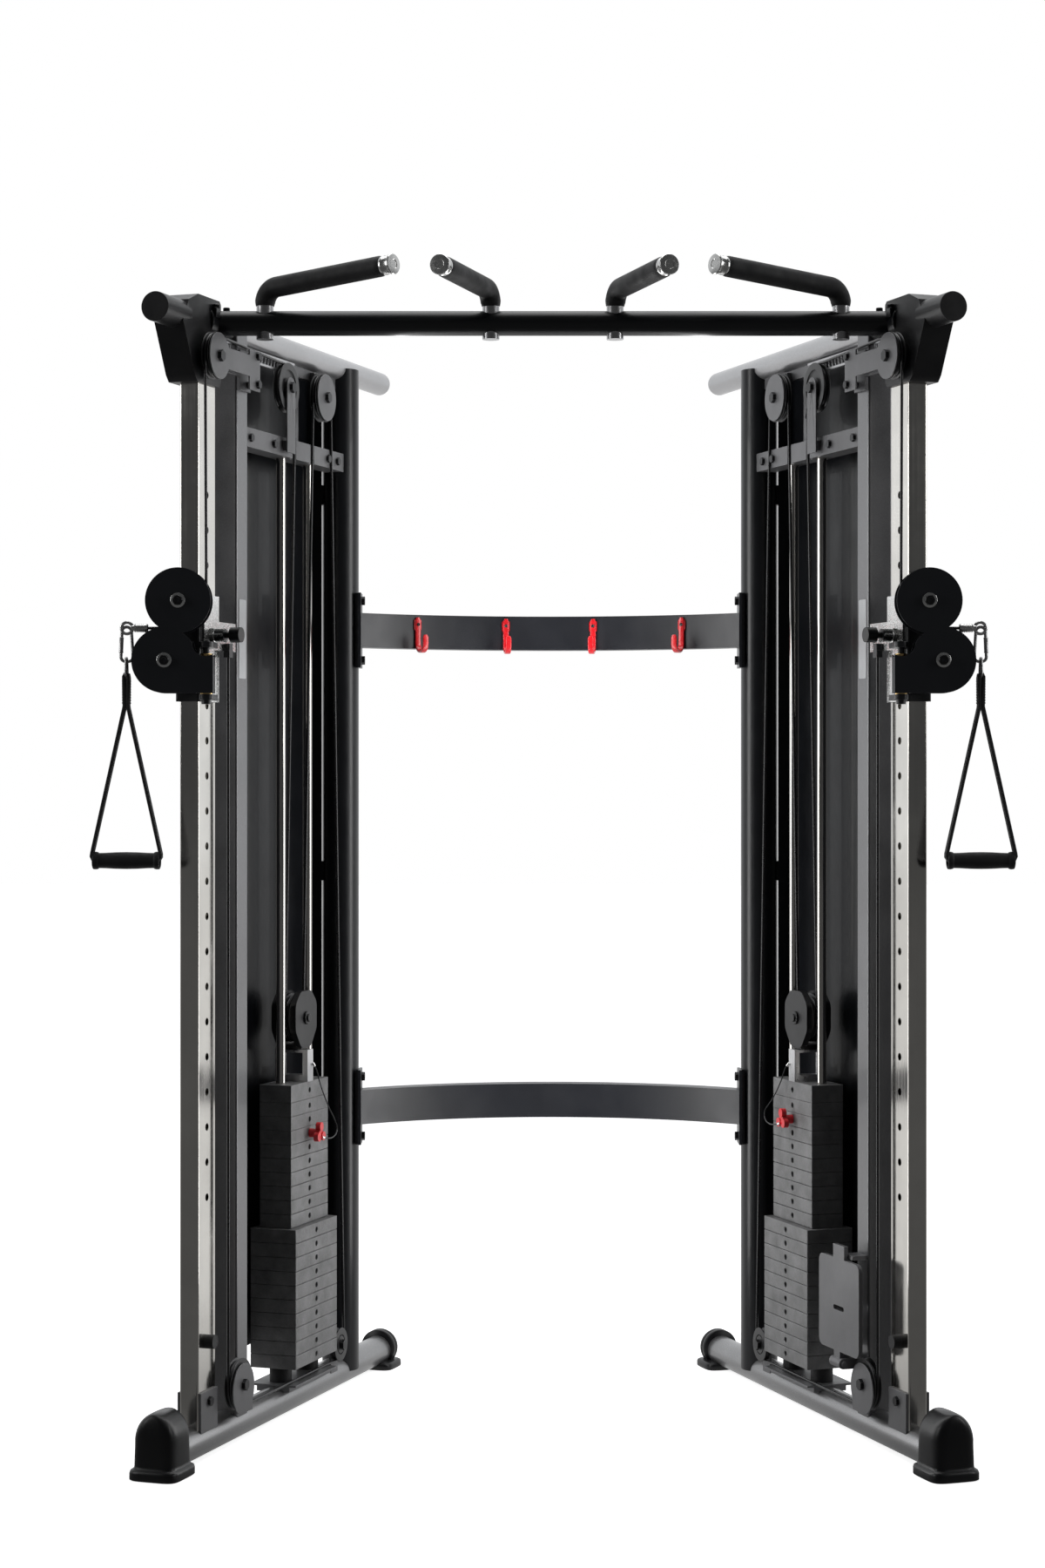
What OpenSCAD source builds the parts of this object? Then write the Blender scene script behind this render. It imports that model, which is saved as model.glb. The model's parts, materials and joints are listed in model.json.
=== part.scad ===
// Functional trainer: two splayed towers, each with a weight stack and one cable, joined by cross bars.
// Every tower part is drawn in the left tower's own frame: x runs from the tower's outer face to its
// inner face, y from its front foot to its rear foot. place() puts it into the machine.

/* [Towers] */
// Distance between the two front foot centres
tower_span = 1415; // [1415:5:1600]
// Angle that each tower is turned in plan
splay = 18.95; // [17:0.05:20]
// Distance from the front foot centre to the rear foot centre
base_length = 1053; // [1053:1:1100]
// Height of the top tubes' centre line
top_z = 2110; // [2110:1:2150]
// Outer radius of the base tubes
base_r = 30; // [29:0.5:31]
// Outer radius of the top tubes
top_r = 24; // [23:0.5:25]
// Wall of every frame tube
wall = 3; // [2:0.5:4]

/* [Columns] */
// Width of the front column across the tower
column_w = 38; // [36:1:38]
// Depth of the front column along the tower
column_d = 76; // [74:1:76]
// Spacing of the latch holes
hole_pitch = 65; // [60:1:65]
// Number of latch holes
hole_count = 21; // [10:1:21]
// Side of the square middle upright
upright_w = 50; // [48:1:50]
// Outer radius of the rear column
rear_r = 38; // [36:0.5:38]

/* [Weight stack] */
// Guide rod radius
rod_r = 9.5; // [8:0.5:9.5]
// Distance between the two guide rods
rod_gap = 133; // [131:1:135]
// Number of wide plates at the bottom
wide_plates = 10; // [6:1:10]
// Number of narrow plates between the wide plates and the head plate
narrow_plates = 9; // [5:1:9]
// Plate thickness
plate_t = 27; // [25:0.5:27]
// Gap between two plates
plate_gap = 0.5; // [0.4:0.1:1]
// Height of the lowest plate's underside
stack_z = 100; // [100:1:110]

/* [Cable and pulleys] */
// Cable radius
cable_r = 2.75; // [2.5:0.05:2.8]
// Width of a pulley
pulley_w = 14; // [12:1:14]
// Cable radius on the arm pulleys
arm_pulley_r = 50; // [48:1:50]

/* [Handles] */
// Length of a D-handle's grip
grip_length = 122; // [110:1:130]
// Radius of a D-handle's grip
grip_r = 15; // [13:0.5:16]
// Radius of the pull-up bar
pull_bar_r = 23; // [21:0.5:23]
// Radius of the pull-up handles' tube
pull_tube_r = 16; // [14:0.5:16]

/* [Hidden] */
$fn = 48;
eps = 0.01;
y_shift = 19.71;                    // centres the machine's footprint on the origin in depth
front_y = -498;                     // front feet, before the shift
base_z = base_r + 5;                // base tube centre, 5 mm clear of the floor
column_y = 148;                     // centre of the front column along the tower
upright_y = 292;                    // centre of the middle upright
stack_y = 596;                      // centre of the weight stack
rear_y = 837;                       // centre of the rear column
top_start = -22;                    // front end of the top tube
top_end = 1051;                     // rear end of the top tube, before its round plug
rail_z = 2066;                      // underside of the flat rail below the top tube
bar_y = -318;                       // pull-up bar, before the shift
plate_pitch = plate_t + plate_gap;
head_t = 34;                        // thickness of the head plate
head_z = stack_z + (wide_plates + narrow_plates) * plate_pitch;
head_top = head_z + head_t;
selected = [3, 2];                  // narrow plates that the pin holds to the head plate, left and right
rod_low = 69;                       // top of the stack's base plate
rod_top = 1925;
rod_bar_z = 1895;
latch_z = 1525;                     // latch pin height, with the carriage as stored
latch_row = 4;                      // latch holes above the stored one
sleeve_low = 1402;
sleeve_high = 1599;
pivot_x = 46;                       // swivel axis of the pulley arm
pivot_y = 88;
arm_up = [50, 1585];                // upper arm pulley: distance from the swivel axis, height
arm_low = [75, 1476];               // lower arm pulley
cover_r = 60;
cover_in = 16;                      // inner face of the arm's covers, from the arm's middle plane
cover_out = 19;
exit_z = arm_up[1] - arm_pulley_r;  // height where the cable leaves the arm
stop_x = 106;                       // start of the cable stop, from the swivel axis
hang_x = 146;                       // handle's hanging point, from the swivel axis
ring_z = 1474;                      // top bar of the handle's ring
grip_z = 1110;
top_plane = 40;                     // cable plane of the top front pulley
hang_plane = 22;                    // cable plane of the two pulleys over the stack
low_plane = 36;                     // cable plane of the two bottom pulleys
top_front = [136, 2040, 40];        // pulley centre along the tower, its height, its cable radius
top_middle = [506, 2030, 45];
top_rear = [686, 2033, 45];
rear_bottom = [738, 105, 30];
front_bottom = [250, 120, 45];
stack_pulley = [stack_y, 783, 45];
anchor = [low_plane, 205, 1490];    // where the cable's fixed end meets the carriage
flange_h = 4;                       // pulley rim beyond the cable's centre
plate_steel = [0.16, 0.165, 0.175];
black = [0.06, 0.06, 0.07];
slate = [0.13, 0.14, 0.17];
silver = [0.62, 0.63, 0.65];
grey = [0.36, 0.37, 0.38];
chrome = [0.8, 0.8, 0.82];
red = [0.75, 0.06, 0.08];

// ---------- placing ----------

module left_side() {
    translate([-tower_span / 2, front_y + y_shift, 0]) rotate([0, 0, -splay]) children();
}

// side is -1 for the left tower and 1 for the right one, its mirror image
module place(side) {
    if (side < 0) left_side() children();
    else mirror([1, 0, 0]) left_side() children();
}

module both() {
    place(-1) children();
    place(1) children();
}

// frame of the pulley arm: x runs out along the arm from the swivel axis, y to the front
module arm_frame() {
    translate([pivot_x, pivot_y, 0]) rotate([0, 0, 180 + splay]) children();
}

// ---------- shared shapes ----------

// centred rectangle with round corners
module rounded(x, y, r) {
    square([x - 2 * r, y], center = true);
    square([x, y - 2 * r], center = true);
    for (i = [-1, 1], j = [-1, 1]) translate([i * (x / 2 - r), j * (y / 2 - r)]) circle(r);
}

// box between two corners
module block(low, high) {
    translate(low) cube(high - low);
}

// cylinder along the tower (y), across it (x)
module along(x, z, y0, y1, r) {
    translate([x, y0, z]) rotate([-90, 0, 0]) cylinder(h = y1 - y0, r = r);
}

module across(y, z, x0, x1, r) {
    translate([x0, y, z]) rotate([0, 90, 0]) cylinder(h = x1 - x0, r = r);
}

// straight round bar from a to b
module run(a, b, r) {
    d = b - a;
    translate(a) rotate([0, acos(d[2] / norm(d)), atan2(d[1], d[0])]) cylinder(h = norm(d), r = r);
}

// outline in the y-z plane, drawn as [y, z], made solid from x0 to x1
module side_plate(x0, x1) {
    translate([x0, 0, 0]) rotate([90, 0, 90]) linear_extrude(x1 - x0) children();
}

// square or rectangular tube standing on z0
module post(x, y, r, z0, z1) {
    translate([0, 0, z0]) difference() {
        linear_extrude(z1 - z0) rounded(x, y, r);
        translate([0, 0, -1]) linear_extrude(z1 - z0 + 2) rounded(x - 2 * wall, y - 2 * wall, 1);
    }
}

// solids of the base and top tubes, used to cope what stands on them
module base_core() { along(0, base_z, -15, base_length + 20, base_r); }
module top_core() { along(0, top_z, top_start, top_end, top_r); }

// closed loop of round wire in the x-z plane, centred, with round corners
module wire_loop(w, h, corner, wire) {
    x = w / 2 - corner;
    z = h / 2 - corner;
    for (i = [0 : 3]) {
        at = [[x, z], [-x, z], [-x, -z], [x, -z]][i];
        translate([at[0], 0, at[1]]) rotate([90, 0, 0]) mirror([0, 0, 1])
            rotate([0, 0, 90 * i]) rotate_extrude(angle = 90) translate([corner, 0]) circle(wire, $fn = 24);
    }
    for (s = [-1, 1]) {
        run([s * w / 2, 0, -z], [s * w / 2, 0, z], wire, $fn = 24);
        run([-x, 0, s * h / 2], [x, 0, s * h / 2], wire, $fn = 24);
    }
}

// grooved wheel on an axis along x, r is the cable's radius on it
module pulley(r, w, bore) {
    rim = r + flange_h;
    groove = cable_r + 0.4;
    rotate([0, 90, 0]) rotate_extrude($fn = 96) difference() {
        union() {
            translate([bore, -w / 2]) square([18 - bore, w]);
            translate([16, -w / 2 + 3]) square([r - 20, w - 6]);
            translate([r - 10, -w / 2]) square([rim - r + 10, w]);
        }
        polygon([[rim + 1, -w / 2 + 1.5], [rim + 1, w / 2 - 1.5], [r, groove], [r, -groove]]);
        translate([r, 0]) circle(groove, $fn = 24);
    }
}

module hex_head(y, z, x0, x1, r) {
    translate([x0, y, z]) rotate([0, 90, 0]) cylinder(h = x1 - x0, r = r, $fn = 6);
}

// tube swept along a list of points, with flat ends
module swept(points, r, sides) {
    n = len(points);
    function tangent(i) = let (d = points[min(i + 1, n - 1)] - points[max(i - 1, 0)]) d / norm(d);
    function normal(i) = let (d = cross(tangent(i), [0.31, 0.17, 0.2])) d / norm(d);
    rings = [for (i = [0 : n - 1], k = [0 : sides - 1])
        let (a = normal(i), b = cross(tangent(i), a), w = 360 * k / sides)
        points[i] + r * (cos(w) * a + sin(w) * b)];
    skin = [for (i = [0 : n - 2], k = [0 : sides - 1])
        let (q = (k + 1) % sides)
        [i * sides + k, i * sides + q, (i + 1) * sides + q, (i + 1) * sides + k]];
    first = [for (k = [0 : sides - 1]) sides - 1 - k];
    last = [for (k = [0 : sides - 1]) (n - 1) * sides + k];
    polyhedron(rings, concat(skin, [first, last]));
}

// ---------- frame ----------

module base_tubes() {
    color(grey) both() difference() {
        base_core();
        along(0, base_z, -16, base_length + 21, base_r - wall);
    }
}

// tall boot over a base tube's front end
module front_boot() {
    difference() {
        union() {
            linear_extrude(19) rounded(98, 104, 22);
            intersection() {
                linear_extrude(119) rounded(82, 88, 20);
                union() {
                    along(0, 77, -60, 60, 41.5);
                    block([-60, -60, 0], [60, 60, 77]);
                }
            }
        }
        along(0, base_z, -15, 80, base_r);
    }
}

module rear_boot() {
    translate([0, base_length, 0]) difference() {
        union() {
            translate([0, -14, 0]) linear_extrude(14) rounded(92, 84, 20);
            translate([0, 0, 39]) rotate([-90, 0, 0]) rotate_extrude()
                polygon([[0, -10], [38, -10], [38, 12], [34, 20], [24, 24], [0, 25]]);
        }
        along(0, base_z, -80, 20, base_r);
    }
}

module feet() {
    color(black) both() {
        front_boot();
        rear_boot();
    }
}

module front_columns() {
    color(chrome) both() difference() {
        translate([0, column_y, 0]) post(column_w, column_d, 4, base_z, top_z);
        base_core();
        top_core();
        for (i = [0 : hole_count - 1]) {
            across(column_y, latch_z + (latch_row - i) * hole_pitch, 5, 30, 7);
        }
    }
}

module middle_uprights() {
    color(grey) both() difference() {
        translate([0, upright_y, 0]) post(upright_w, upright_w, 4, base_z, top_z);
        base_core();
        top_core();
    }
}

module rear_columns() {
    color(slate) both() difference() {
        translate([0, rear_y, base_z]) cylinder(h = top_z - base_z, r = rear_r, $fn = 96);
        translate([0, rear_y, base_z - 1]) cylinder(h = top_z - base_z + 2, r = rear_r - wall);
        base_core();
        top_core();
    }
}

module top_tubes() {
    color(silver) both() {
        difference() {
            top_core();
            along(0, top_z, top_start - 1, top_end - 4, top_r - wall);
        }
        intersection() {
            translate([0, top_end, top_z]) sphere(top_r);
            block([-40, top_end - eps, top_z - 40], [40, top_end + 40, top_z + 40]);
        }
    }
}

// moulded cover over the top tube's front end and the head of the front column
module top_caps() {
    cap_low = 1989;
    color(black) both() difference() {
        union() {
            along(0, top_z - 2, -30, 70, 27);
            side_plate(-34, 24.4) polygon([[36, 2092], [84, cap_low + 12], [96, cap_low], [190, cap_low],
                [198, cap_low + 10], [198, 2144], [192, 2150], [100, 2150], [60, 2134]]);
        }
        along(0, top_z, top_start, 260, top_r);
        translate([0, column_y, 0]) linear_extrude(top_z) rounded(column_w, column_d, 4);
        translate([0, column_y, top_z]) cube([column_w - 4, column_d, 30], center = true);
    }
}

// folded sheet that closes the stack's outer side
module shrouds() {
    color(black) both() {
        difference() {
            block([-62, 322, 140], [-31, 812, 2010]);
            block([-60, 324, 139], [-30, 810, 2011]);
        }
        block([-62, 470, 2010 - eps], [-60, 812, 2095]);
        block([-62, 810, 2010 - eps], [-31, 812, 2095]);
        // tabs to the middle upright and to the rear column
        for (z = [220, 1050, 1830]) {
            block([-45, upright_y + upright_w / 2, z], [-12, 324, z + 40]);
            difference() {
                block([-45, 810, z], [-12, rear_y, z + 40]);
                translate([0, rear_y, z - 1]) cylinder(h = 42, r = rear_r);
            }
        }
    }
}

// ---------- weight stack guides ----------

module rod_brackets() {
    color(grey) both() {
        difference() {
            block([-20, upright_y + upright_w / 2, rod_bar_z], [20, rear_y, rod_bar_z + 37]);
            translate([0, rear_y, rod_bar_z - 1]) cylinder(h = 40, r = rear_r);
            for (s = [-1, 1]) translate([0, stack_y + s * rod_gap / 2, rod_bar_z - 1])
                cylinder(h = rod_top - rod_bar_z + 1, r = rod_r);
            // notches where the cable runs down to the stack and up again
            for (s = [-1, 1]) translate([19, stack_y + s * stack_pulley[2], rod_bar_z - 1])
                cylinder(h = 40, r = 9);
        }
        // flat rail below the top tube, and the strip that ties it to the bar
        difference() {
            union() {
                block([-4, upright_y + upright_w / 2, rail_z], [4, rear_y, top_z]);
                difference() {
                    block([-4, 575, rod_bar_z + 37], [4, 607, rail_z + 5]);
                    across(591, 1986, -10, 10, 8);
                }
            }
            top_core();
            translate([0, rear_y, 0]) cylinder(h = 2200, r = rear_r);
        }
    }
}

module guide_rods() {
    color(chrome) both() for (s = [-1, 1]) {
        translate([0, stack_y + s * rod_gap / 2, rod_low]) cylinder(h = rod_top - rod_low, r = rod_r);
    }
}

module stack_bases() {
    color(plate_steel) both() difference() {
        block([-49, stack_y - 105, base_z + 20], [49, stack_y + 105, rod_low]);
        block([-50, stack_y - 110, base_z], [-35, stack_y + 110, rod_low - 4]);
        block([35, stack_y - 110, base_z], [50, stack_y + 110, rod_low - 4]);
        base_core();
    }
}

module rubber_bumpers() {
    color(black) both() {
        for (s = [-1, 1]) {
            across(column_y, 218, s > 0 ? column_w / 2 : -28, s > 0 ? 36 : -column_w / 2, s > 0 ? 13 : 9);
            translate([0, stack_y + s * rod_gap / 2, rod_low]) difference() {
                cylinder(h = stack_z - rod_low, r = 22);
                translate([0, 0, -1]) cylinder(h = 60, r = rod_r);
            }
        }
    }
}

// one plate of the stack, standing on z = 0, drilled for the rods, the stem and the selector pin
module stack_plate(w, d, h) {
    difference() {
        translate([-w / 2, stack_y - d / 2, 0]) cube([w, d, h]);
        for (s = [-1, 1]) {
            translate([0, stack_y + s * rod_gap / 2, -1]) cylinder(h = h + 2, r = rod_r + 0.6);
        }
        translate([0, stack_y, -1]) cylinder(h = h + 2, r = 11.5);
        across(stack_y, h / 2, 0, w, 5.5);
    }
}

module wide_plate() { stack_plate(98, 209, plate_t); }
module narrow_plate() { stack_plate(68, 186, plate_t); }

module resting_plates() {
    color(plate_steel) for (k = [0, 1]) place(2 * k - 1) {
        for (i = [0 : wide_plates - 1]) translate([0, 0, stack_z + i * plate_pitch]) wide_plate();
        for (i = [0 : narrow_plates - 1 - selected[k]]) {
            translate([0, 0, stack_z + (wide_plates + i) * plate_pitch]) narrow_plate();
        }
    }
}

// ---------- cross bars and pull-up bar ----------

rear_x = tower_span / 2 - rear_y * sin(splay);      // rear columns in the machine
rear_row = front_y + y_shift + rear_y * cos(splay);
bar_end = rear_x - rear_r - 6;                      // inner face of a cross bar's flange
bow = 128;                                          // how far a cross bar bows to the rear
bow_r = (bar_end * bar_end + bow * bow) / (2 * bow);

// bowed bar with a flange plate at each end
module crossbar(z, h) {
    color(slate) {
        translate([0, rear_row, z]) {
            difference() {
                translate([0, bow - bow_r, -h / 2]) difference() {
                    cylinder(h = h, r = bow_r + 20, $fn = 180);
                    translate([0, 0, -1]) cylinder(h = h + 2, r = bow_r - 20, $fn = 180);
                }
                translate([0, bow - bow_r, 0]) difference() {
                    translate([0, 0, 3 - h / 2]) cylinder(h = h - 6, r = bow_r + 17, $fn = 180);
                    translate([0, 0, -h / 2]) cylinder(h = h, r = bow_r - 17, $fn = 180);
                }
                block([-2000, -2000, -h], [-bar_end, 2000, h]);
                block([bar_end, -2000, -h], [2000, 2000, h]);
                block([-2000, -2000, -h], [2000, -60, h]);
            }
            for (s = [-1, 1]) {
                difference() {
                    translate([s * (bar_end + 3), 0, 0]) cube([6 + eps, 62, 155], center = true);
                    for (j = [-1, 1]) translate([s * (bar_end - 8), 0, 62 * j])
                        rotate([0, s * 90, 0]) cylinder(h = 14, r = 5.2);
                }
                difference() {
                    translate([s * (bar_end + 14), 0, 0]) cube([16, 40, 155], center = true);
                    translate([s * rear_x, 0, -90]) cylinder(h = 180, r = rear_r, $fn = 96);
                }
            }
        }
    }
}

upper_bar_z = 1569;
lower_bar_z = 580;
bar_h = 71;
module upper_crossbar() { crossbar(upper_bar_z, bar_h); }
module lower_crossbar() { crossbar(lower_bar_z, bar_h); }

// J hook: a flat bar down the face of the cross bar that turns up into a crook
hook_row = [-277.5, -92.5, 92.5, 277.5];
module j_hook() {
    crook = 18;
    block([-5, -5, -22], [5, 0, 28]);
    translate([-5, -5 - crook, -22]) rotate([90, 180, 90]) linear_extrude(10) intersection() {
        difference() {
            circle(crook + 5);
            circle(crook - 0.5);
        }
        translate([-40, 0]) square([80, 40]);
    }
    translate([0, -5 - 2 * crook - 2, -22]) block([-5, -2.5, -eps], [5, 2.5, 12]);
}

module accessory_hooks() {
    color(red) for (x = hook_row) {
        angle = asin(x / (bow_r - 20));
        translate([0, rear_row + bow - bow_r, upper_bar_z]) rotate([0, 0, -angle])
            translate([0, bow_r - 20, 0]) j_hook();
    }
}

module pull_up_bar() {
    end = tower_span / 2 + 20;
    color(black) difference() {
        translate([-end, bar_y + y_shift, top_z]) rotate([0, 90, 0]) cylinder(h = 2 * end, r = pull_bar_r);
        translate([-end - 1, bar_y + y_shift, top_z]) rotate([0, 90, 0])
            cylinder(h = 2 * end + 2, r = pull_bar_r - wall);
        both() {
            block([-300, -100, top_z - 60], [0, 400, top_z + 60]);
            block([-1, -100, top_z - 60], [24.6, 198.2, top_z + 60]);
        }
        both() top_core();
        for (s = [-1, 1], x = [outer_base, inner_base]) {
            translate([s * x, bar_y + y_shift, top_z - 40]) cylinder(h = 90, r = pull_tube_r);
        }
    }
}

outer_base = 538;
inner_base = 116;
post_top = 2172;
function handle_path(k) = [
    [[-outer_base, 0, top_z - 30], [-outer_base, 0, post_top - 12], [-outer_base + 10, -7, post_top + 3],
     [-290, -180, post_top + 17]],
    [[-inner_base, 0, top_z - 30], [-inner_base, 0, post_top - 12], [-inner_base - 5, -13, post_top],
     [-205, -250, post_top + 4]]][k];

// bent handle: post through the bar, mitred bend and forward arm
module pull_handle(k) {
    p = handle_path(k);
    translate([0, bar_y + y_shift, 0]) difference() {
        union() {
            for (i = [0 : 2]) run(p[i], p[i + 1], pull_tube_r);
            for (i = [1, 2]) translate(p[i]) sphere(pull_tube_r + 0.5);
        }
        run(p[2], p[3] + (p[3] - p[2]) / 100, pull_tube_r - wall);
    }
}

module pull_up_handles() {
    color(silver) for (k = [0, 1]) {
        pull_handle(k);
        mirror([1, 0, 0]) pull_handle(k);
    }
}

// rubber sleeve on the handle's arm, with the end plug beyond it
module pull_grip(k) {
    p = handle_path(k);
    u = (p[3] - p[2]) / norm(p[3] - p[2]);
    reach = norm(p[3] - p[2]);
    translate([0, bar_y + y_shift, 0]) difference() {
        run(p[2] + 8 * u, p[2] + (reach - 22) * u, pull_tube_r + 3);
        run(p[2] + 7 * u, p[2] + (reach - 20) * u, pull_tube_r + 0.05);
        translate(p[2]) sphere(pull_tube_r + 0.5);
    }
}

module pull_up_grips() {
    color(black) for (k = [0, 1]) {
        pull_grip(k);
        mirror([1, 0, 0]) pull_grip(k);
    }
}

// ---------- pulley brackets and bolts ----------

inner_face = upright_w / 2;                          // inner face of the middle upright
plane_half = pulley_w / 2 + 1.5;                     // room for a pulley on each side of its plane

// axle bolt of a pulley: shank through the wheel and its plates, with a head
module axle(p, x0, x1) {
    across(p[0], p[1], x0, x1, 6);
    hex_head(p[0], p[1], x1 - eps, x1 + 7, 11);
}

module pulley_brackets() {
    color(grey) both() {
        // top front: two plates on the upright, with a round nose over the pulley
        for (x = [[inner_face, top_plane - plane_half], [top_plane + plane_half, top_plane + plane_half + 3]]) {
            difference() {
                side_plate(x[0], x[1]) {
                    difference() {
                        union() {
                            translate([top_front[0], top_front[1]]) circle(x[0] < top_plane ? 20 : 43);
                            translate([top_front[0], top_front[1] - 20])
                                square([upright_y + 24 - top_front[0], 40]);
                            translate([upright_y - 24, 1995]) square([48, 76]);
                        }
                        translate([top_front[0], top_front[1]]) circle(6);
                    }
                }
            }
        }
        // the two pulleys over the stack hang on plates beside the rail
        for (p = [top_middle, top_rear]) side_plate(4, hang_plane - plane_half) difference() {
            union() {
                translate([p[0], p[1]]) circle(20);
                translate([p[0] - 20, p[1]]) square([40, 2082 - p[1]]);
            }
            translate([p[0], p[1]]) circle(6);
        }
        // outer plate from the middle one down to the rod bar, round cover on the rear one
        side_plate(hang_plane + plane_half, hang_plane + plane_half + 3) difference() {
            union() {
                translate([top_middle[0], top_middle[1]]) circle(20);
                translate([top_middle[0] - 20, rod_bar_z + 6]) square([40, top_middle[1] - rod_bar_z - 6]);
            }
            translate([top_middle[0], top_middle[1]]) circle(6);
        }
        block([20, top_middle[0] - 12, rod_bar_z + 10], [hang_plane + plane_half + eps, top_middle[0] + 12, rod_bar_z + 30]);
        side_plate(hang_plane + plane_half, hang_plane + plane_half + 3) difference() {
            translate([top_rear[0], top_rear[1]]) circle(47);
            translate([top_rear[0], top_rear[1]]) circle(6);
        }
        // front bottom: half-round plates that stand forward of the upright
        for (x = [[inner_face, low_plane - plane_half], [low_plane + plane_half, low_plane + plane_half + 3]]) {
            side_plate(x[0], x[1]) difference() {
                union() {
                    translate([front_bottom[0], 112]) circle(x[0] < low_plane ? 20 : 48);
                    translate([front_bottom[0], 92]) square([40, 40]);
                    translate([front_bottom[0] + 18, 66]) square([22, 74]);
                }
                translate([front_bottom[0], front_bottom[1]]) circle(6);
            }
        }
        // rear bottom: plate standing on the base tube
        difference() {
            side_plate(low_plane - plane_half - 4, low_plane - plane_half) difference() {
                translate([rear_bottom[0] - 18, 40]) square([36, 86]);
                translate([rear_bottom[0], rear_bottom[1]]) circle(6);
            }
            base_core();
        }
        // foot plates of the front column
        for (s = [-1, 1]) difference() {
            block([s > 0 ? 19 : -24, 112, 46], [s > 0 ? 24 : -19, 184, 128]);
            across(column_y, 108, -40, 40, 5.2);
            base_core();
        }
    }
}

module frame_bolts() {
    color(silver) {
        both() {
            axle(top_front, inner_face, top_plane + plane_half + 3);
            for (p = [top_middle, top_rear]) axle(p, 4, hang_plane + plane_half + 3);
            axle(front_bottom, inner_face, low_plane + plane_half + 3);
            axle(rear_bottom, low_plane - plane_half - 4, low_plane + plane_half);
            // bolts that tie the upper bracket to the upright, the rod bar and the columns' feet
            for (z = [2008, 2062]) {
                hex_head(upright_y + 12, z, top_plane + plane_half + 3, top_plane + plane_half + 9, 8);
                across(upright_y + 12, z, top_plane - plane_half, top_plane + plane_half, 7);
            }
            for (y = [340, 450, 720, 770]) hex_head(y, rod_bar_z + 18, 20, 26, 8);
            for (s = [-1, 1]) hex_head(column_y, 108, s > 0 ? 24 : -30, s > 0 ? 30 : -24, 9);
        }
        // flange bolts of the cross bars
        for (z = [upper_bar_z, lower_bar_z], s = [-1, 1], j = [-1, 1]) {
            translate([s * (bar_end - 7), rear_row, z + 62 * j]) rotate([0, s * 90, 0]) {
                cylinder(h = 7, r = 9, $fn = 6);
                cylinder(h = 13, r = 5.2);
            }
        }
    }
}

// ---------- cables ----------

// part of a circle of cable around a pulley on an axis along x, angles from +y towards +z
module wrap(x, p, from, to) {
    translate([x, p[0], p[1]]) rotate([90, 0, 90]) rotate([0, 0, from])
        rotate_extrude(angle = to - from, $fn = 72) translate([p[2], 0]) circle(cable_r, $fn = 24);
}

// point of a pulley's cable circle, angle from +y towards +z
function on_rim(x, p, angle) = [x, p[0] + p[2] * cos(angle), p[1] + p[2] * sin(angle)];

// straight stretch of cable, which stops just short of its neighbours
module cable(a, b) {
    u = 0.2 * (b - a) / norm(b - a);
    run(a + u, b - u, cable_r, $fn = 24);
}

module cable_runs() {
    pivot_top = [pivot_x, pivot_y, arm_up[1]];
    cable(on_rim(top_plane, top_front, 180), pivot_top);
    wrap(top_plane, top_front, 90, 180);
    cable(on_rim(top_plane, top_front, 90), on_rim(hang_plane, top_middle, 90));
    wrap(hang_plane, top_middle, 0, 90);
    cable(on_rim(hang_plane, top_middle, 0), on_rim(0, stack_pulley, 180));
    wrap(0, stack_pulley, 180, 360);
    cable(on_rim(0, stack_pulley, 0), on_rim(hang_plane, top_rear, 180));
    wrap(hang_plane, top_rear, 0, 180);
    cable(on_rim(hang_plane, top_rear, 0), on_rim(low_plane, rear_bottom, 0));
    wrap(low_plane, rear_bottom, 270, 360);
    cable(on_rim(low_plane, rear_bottom, 270), on_rim(low_plane, front_bottom, 270));
    wrap(low_plane, front_bottom, 180, 270);
    cable(on_rim(low_plane, front_bottom, 180), anchor);
    arm_frame() {
        translate([arm_up[0], 0, arm_up[1]]) rotate([90, 0, 0]) rotate([0, 0, 180])
            rotate_extrude(angle = 90, $fn = 72) translate([arm_pulley_r, 0]) circle(cable_r, $fn = 24);
        cable([arm_up[0], 0, exit_z], [stop_x, 0, exit_z]);
    }
}

module cables() {
    color(black) both() cable_runs();
}

// ---------- foot plate of the right tower ----------

foot_x = 62;                        // hinge line of the foot plate
foot_z = 150;
foot_y = 312;                       // middle of the foot plate along the tower
knuckle_y = 319.5;                   // middle of its hinge
foot_fold = 8;                      // thickness of the plate

module foot_plate_bracket() {
    color(grey) place(1) {
        for (s = [-1, 1]) difference() {
            union() {
                block([inner_face, knuckle_y + s * 18 - 4, foot_z - 10],
                    [foot_x, knuckle_y + s * 18 + 4, foot_z + 10]);
                along(foot_x, foot_z, knuckle_y + s * 18 - 4, knuckle_y + s * 18 + 4, 10);
            }
            along(foot_x, foot_z, knuckle_y - 30, knuckle_y + 30, 5);
        }
        block([inner_face, upright_y - 20, foot_z + 200], [foot_x - 6, upright_y + 20, foot_z + 208]);
        along(foot_x, foot_z, knuckle_y - 26, knuckle_y + 26, 5);
    }
}

module foot_plate() {
    color(grey) place(1) difference() {
        union() {
            side_plate(foot_x - foot_fold / 2, foot_x + foot_fold / 2) difference() {
                union() {
                    translate([foot_y, foot_z + 110]) rounded(176, 176, 16);
                    translate([foot_y - 24, foot_z + 150]) square([48, 74]);
                    translate([knuckle_y - 13, foot_z]) square([26, 40]);
                }
                translate([foot_y, foot_z + 104]) rounded(46, 9, 4);
            }
            along(foot_x, foot_z, knuckle_y - 13.5, knuckle_y + 13.5, 10);
        }
        along(foot_x, foot_z, knuckle_y - 30, knuckle_y + 30, 5.05);
    }
}

// ---------- carriage ----------

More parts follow.
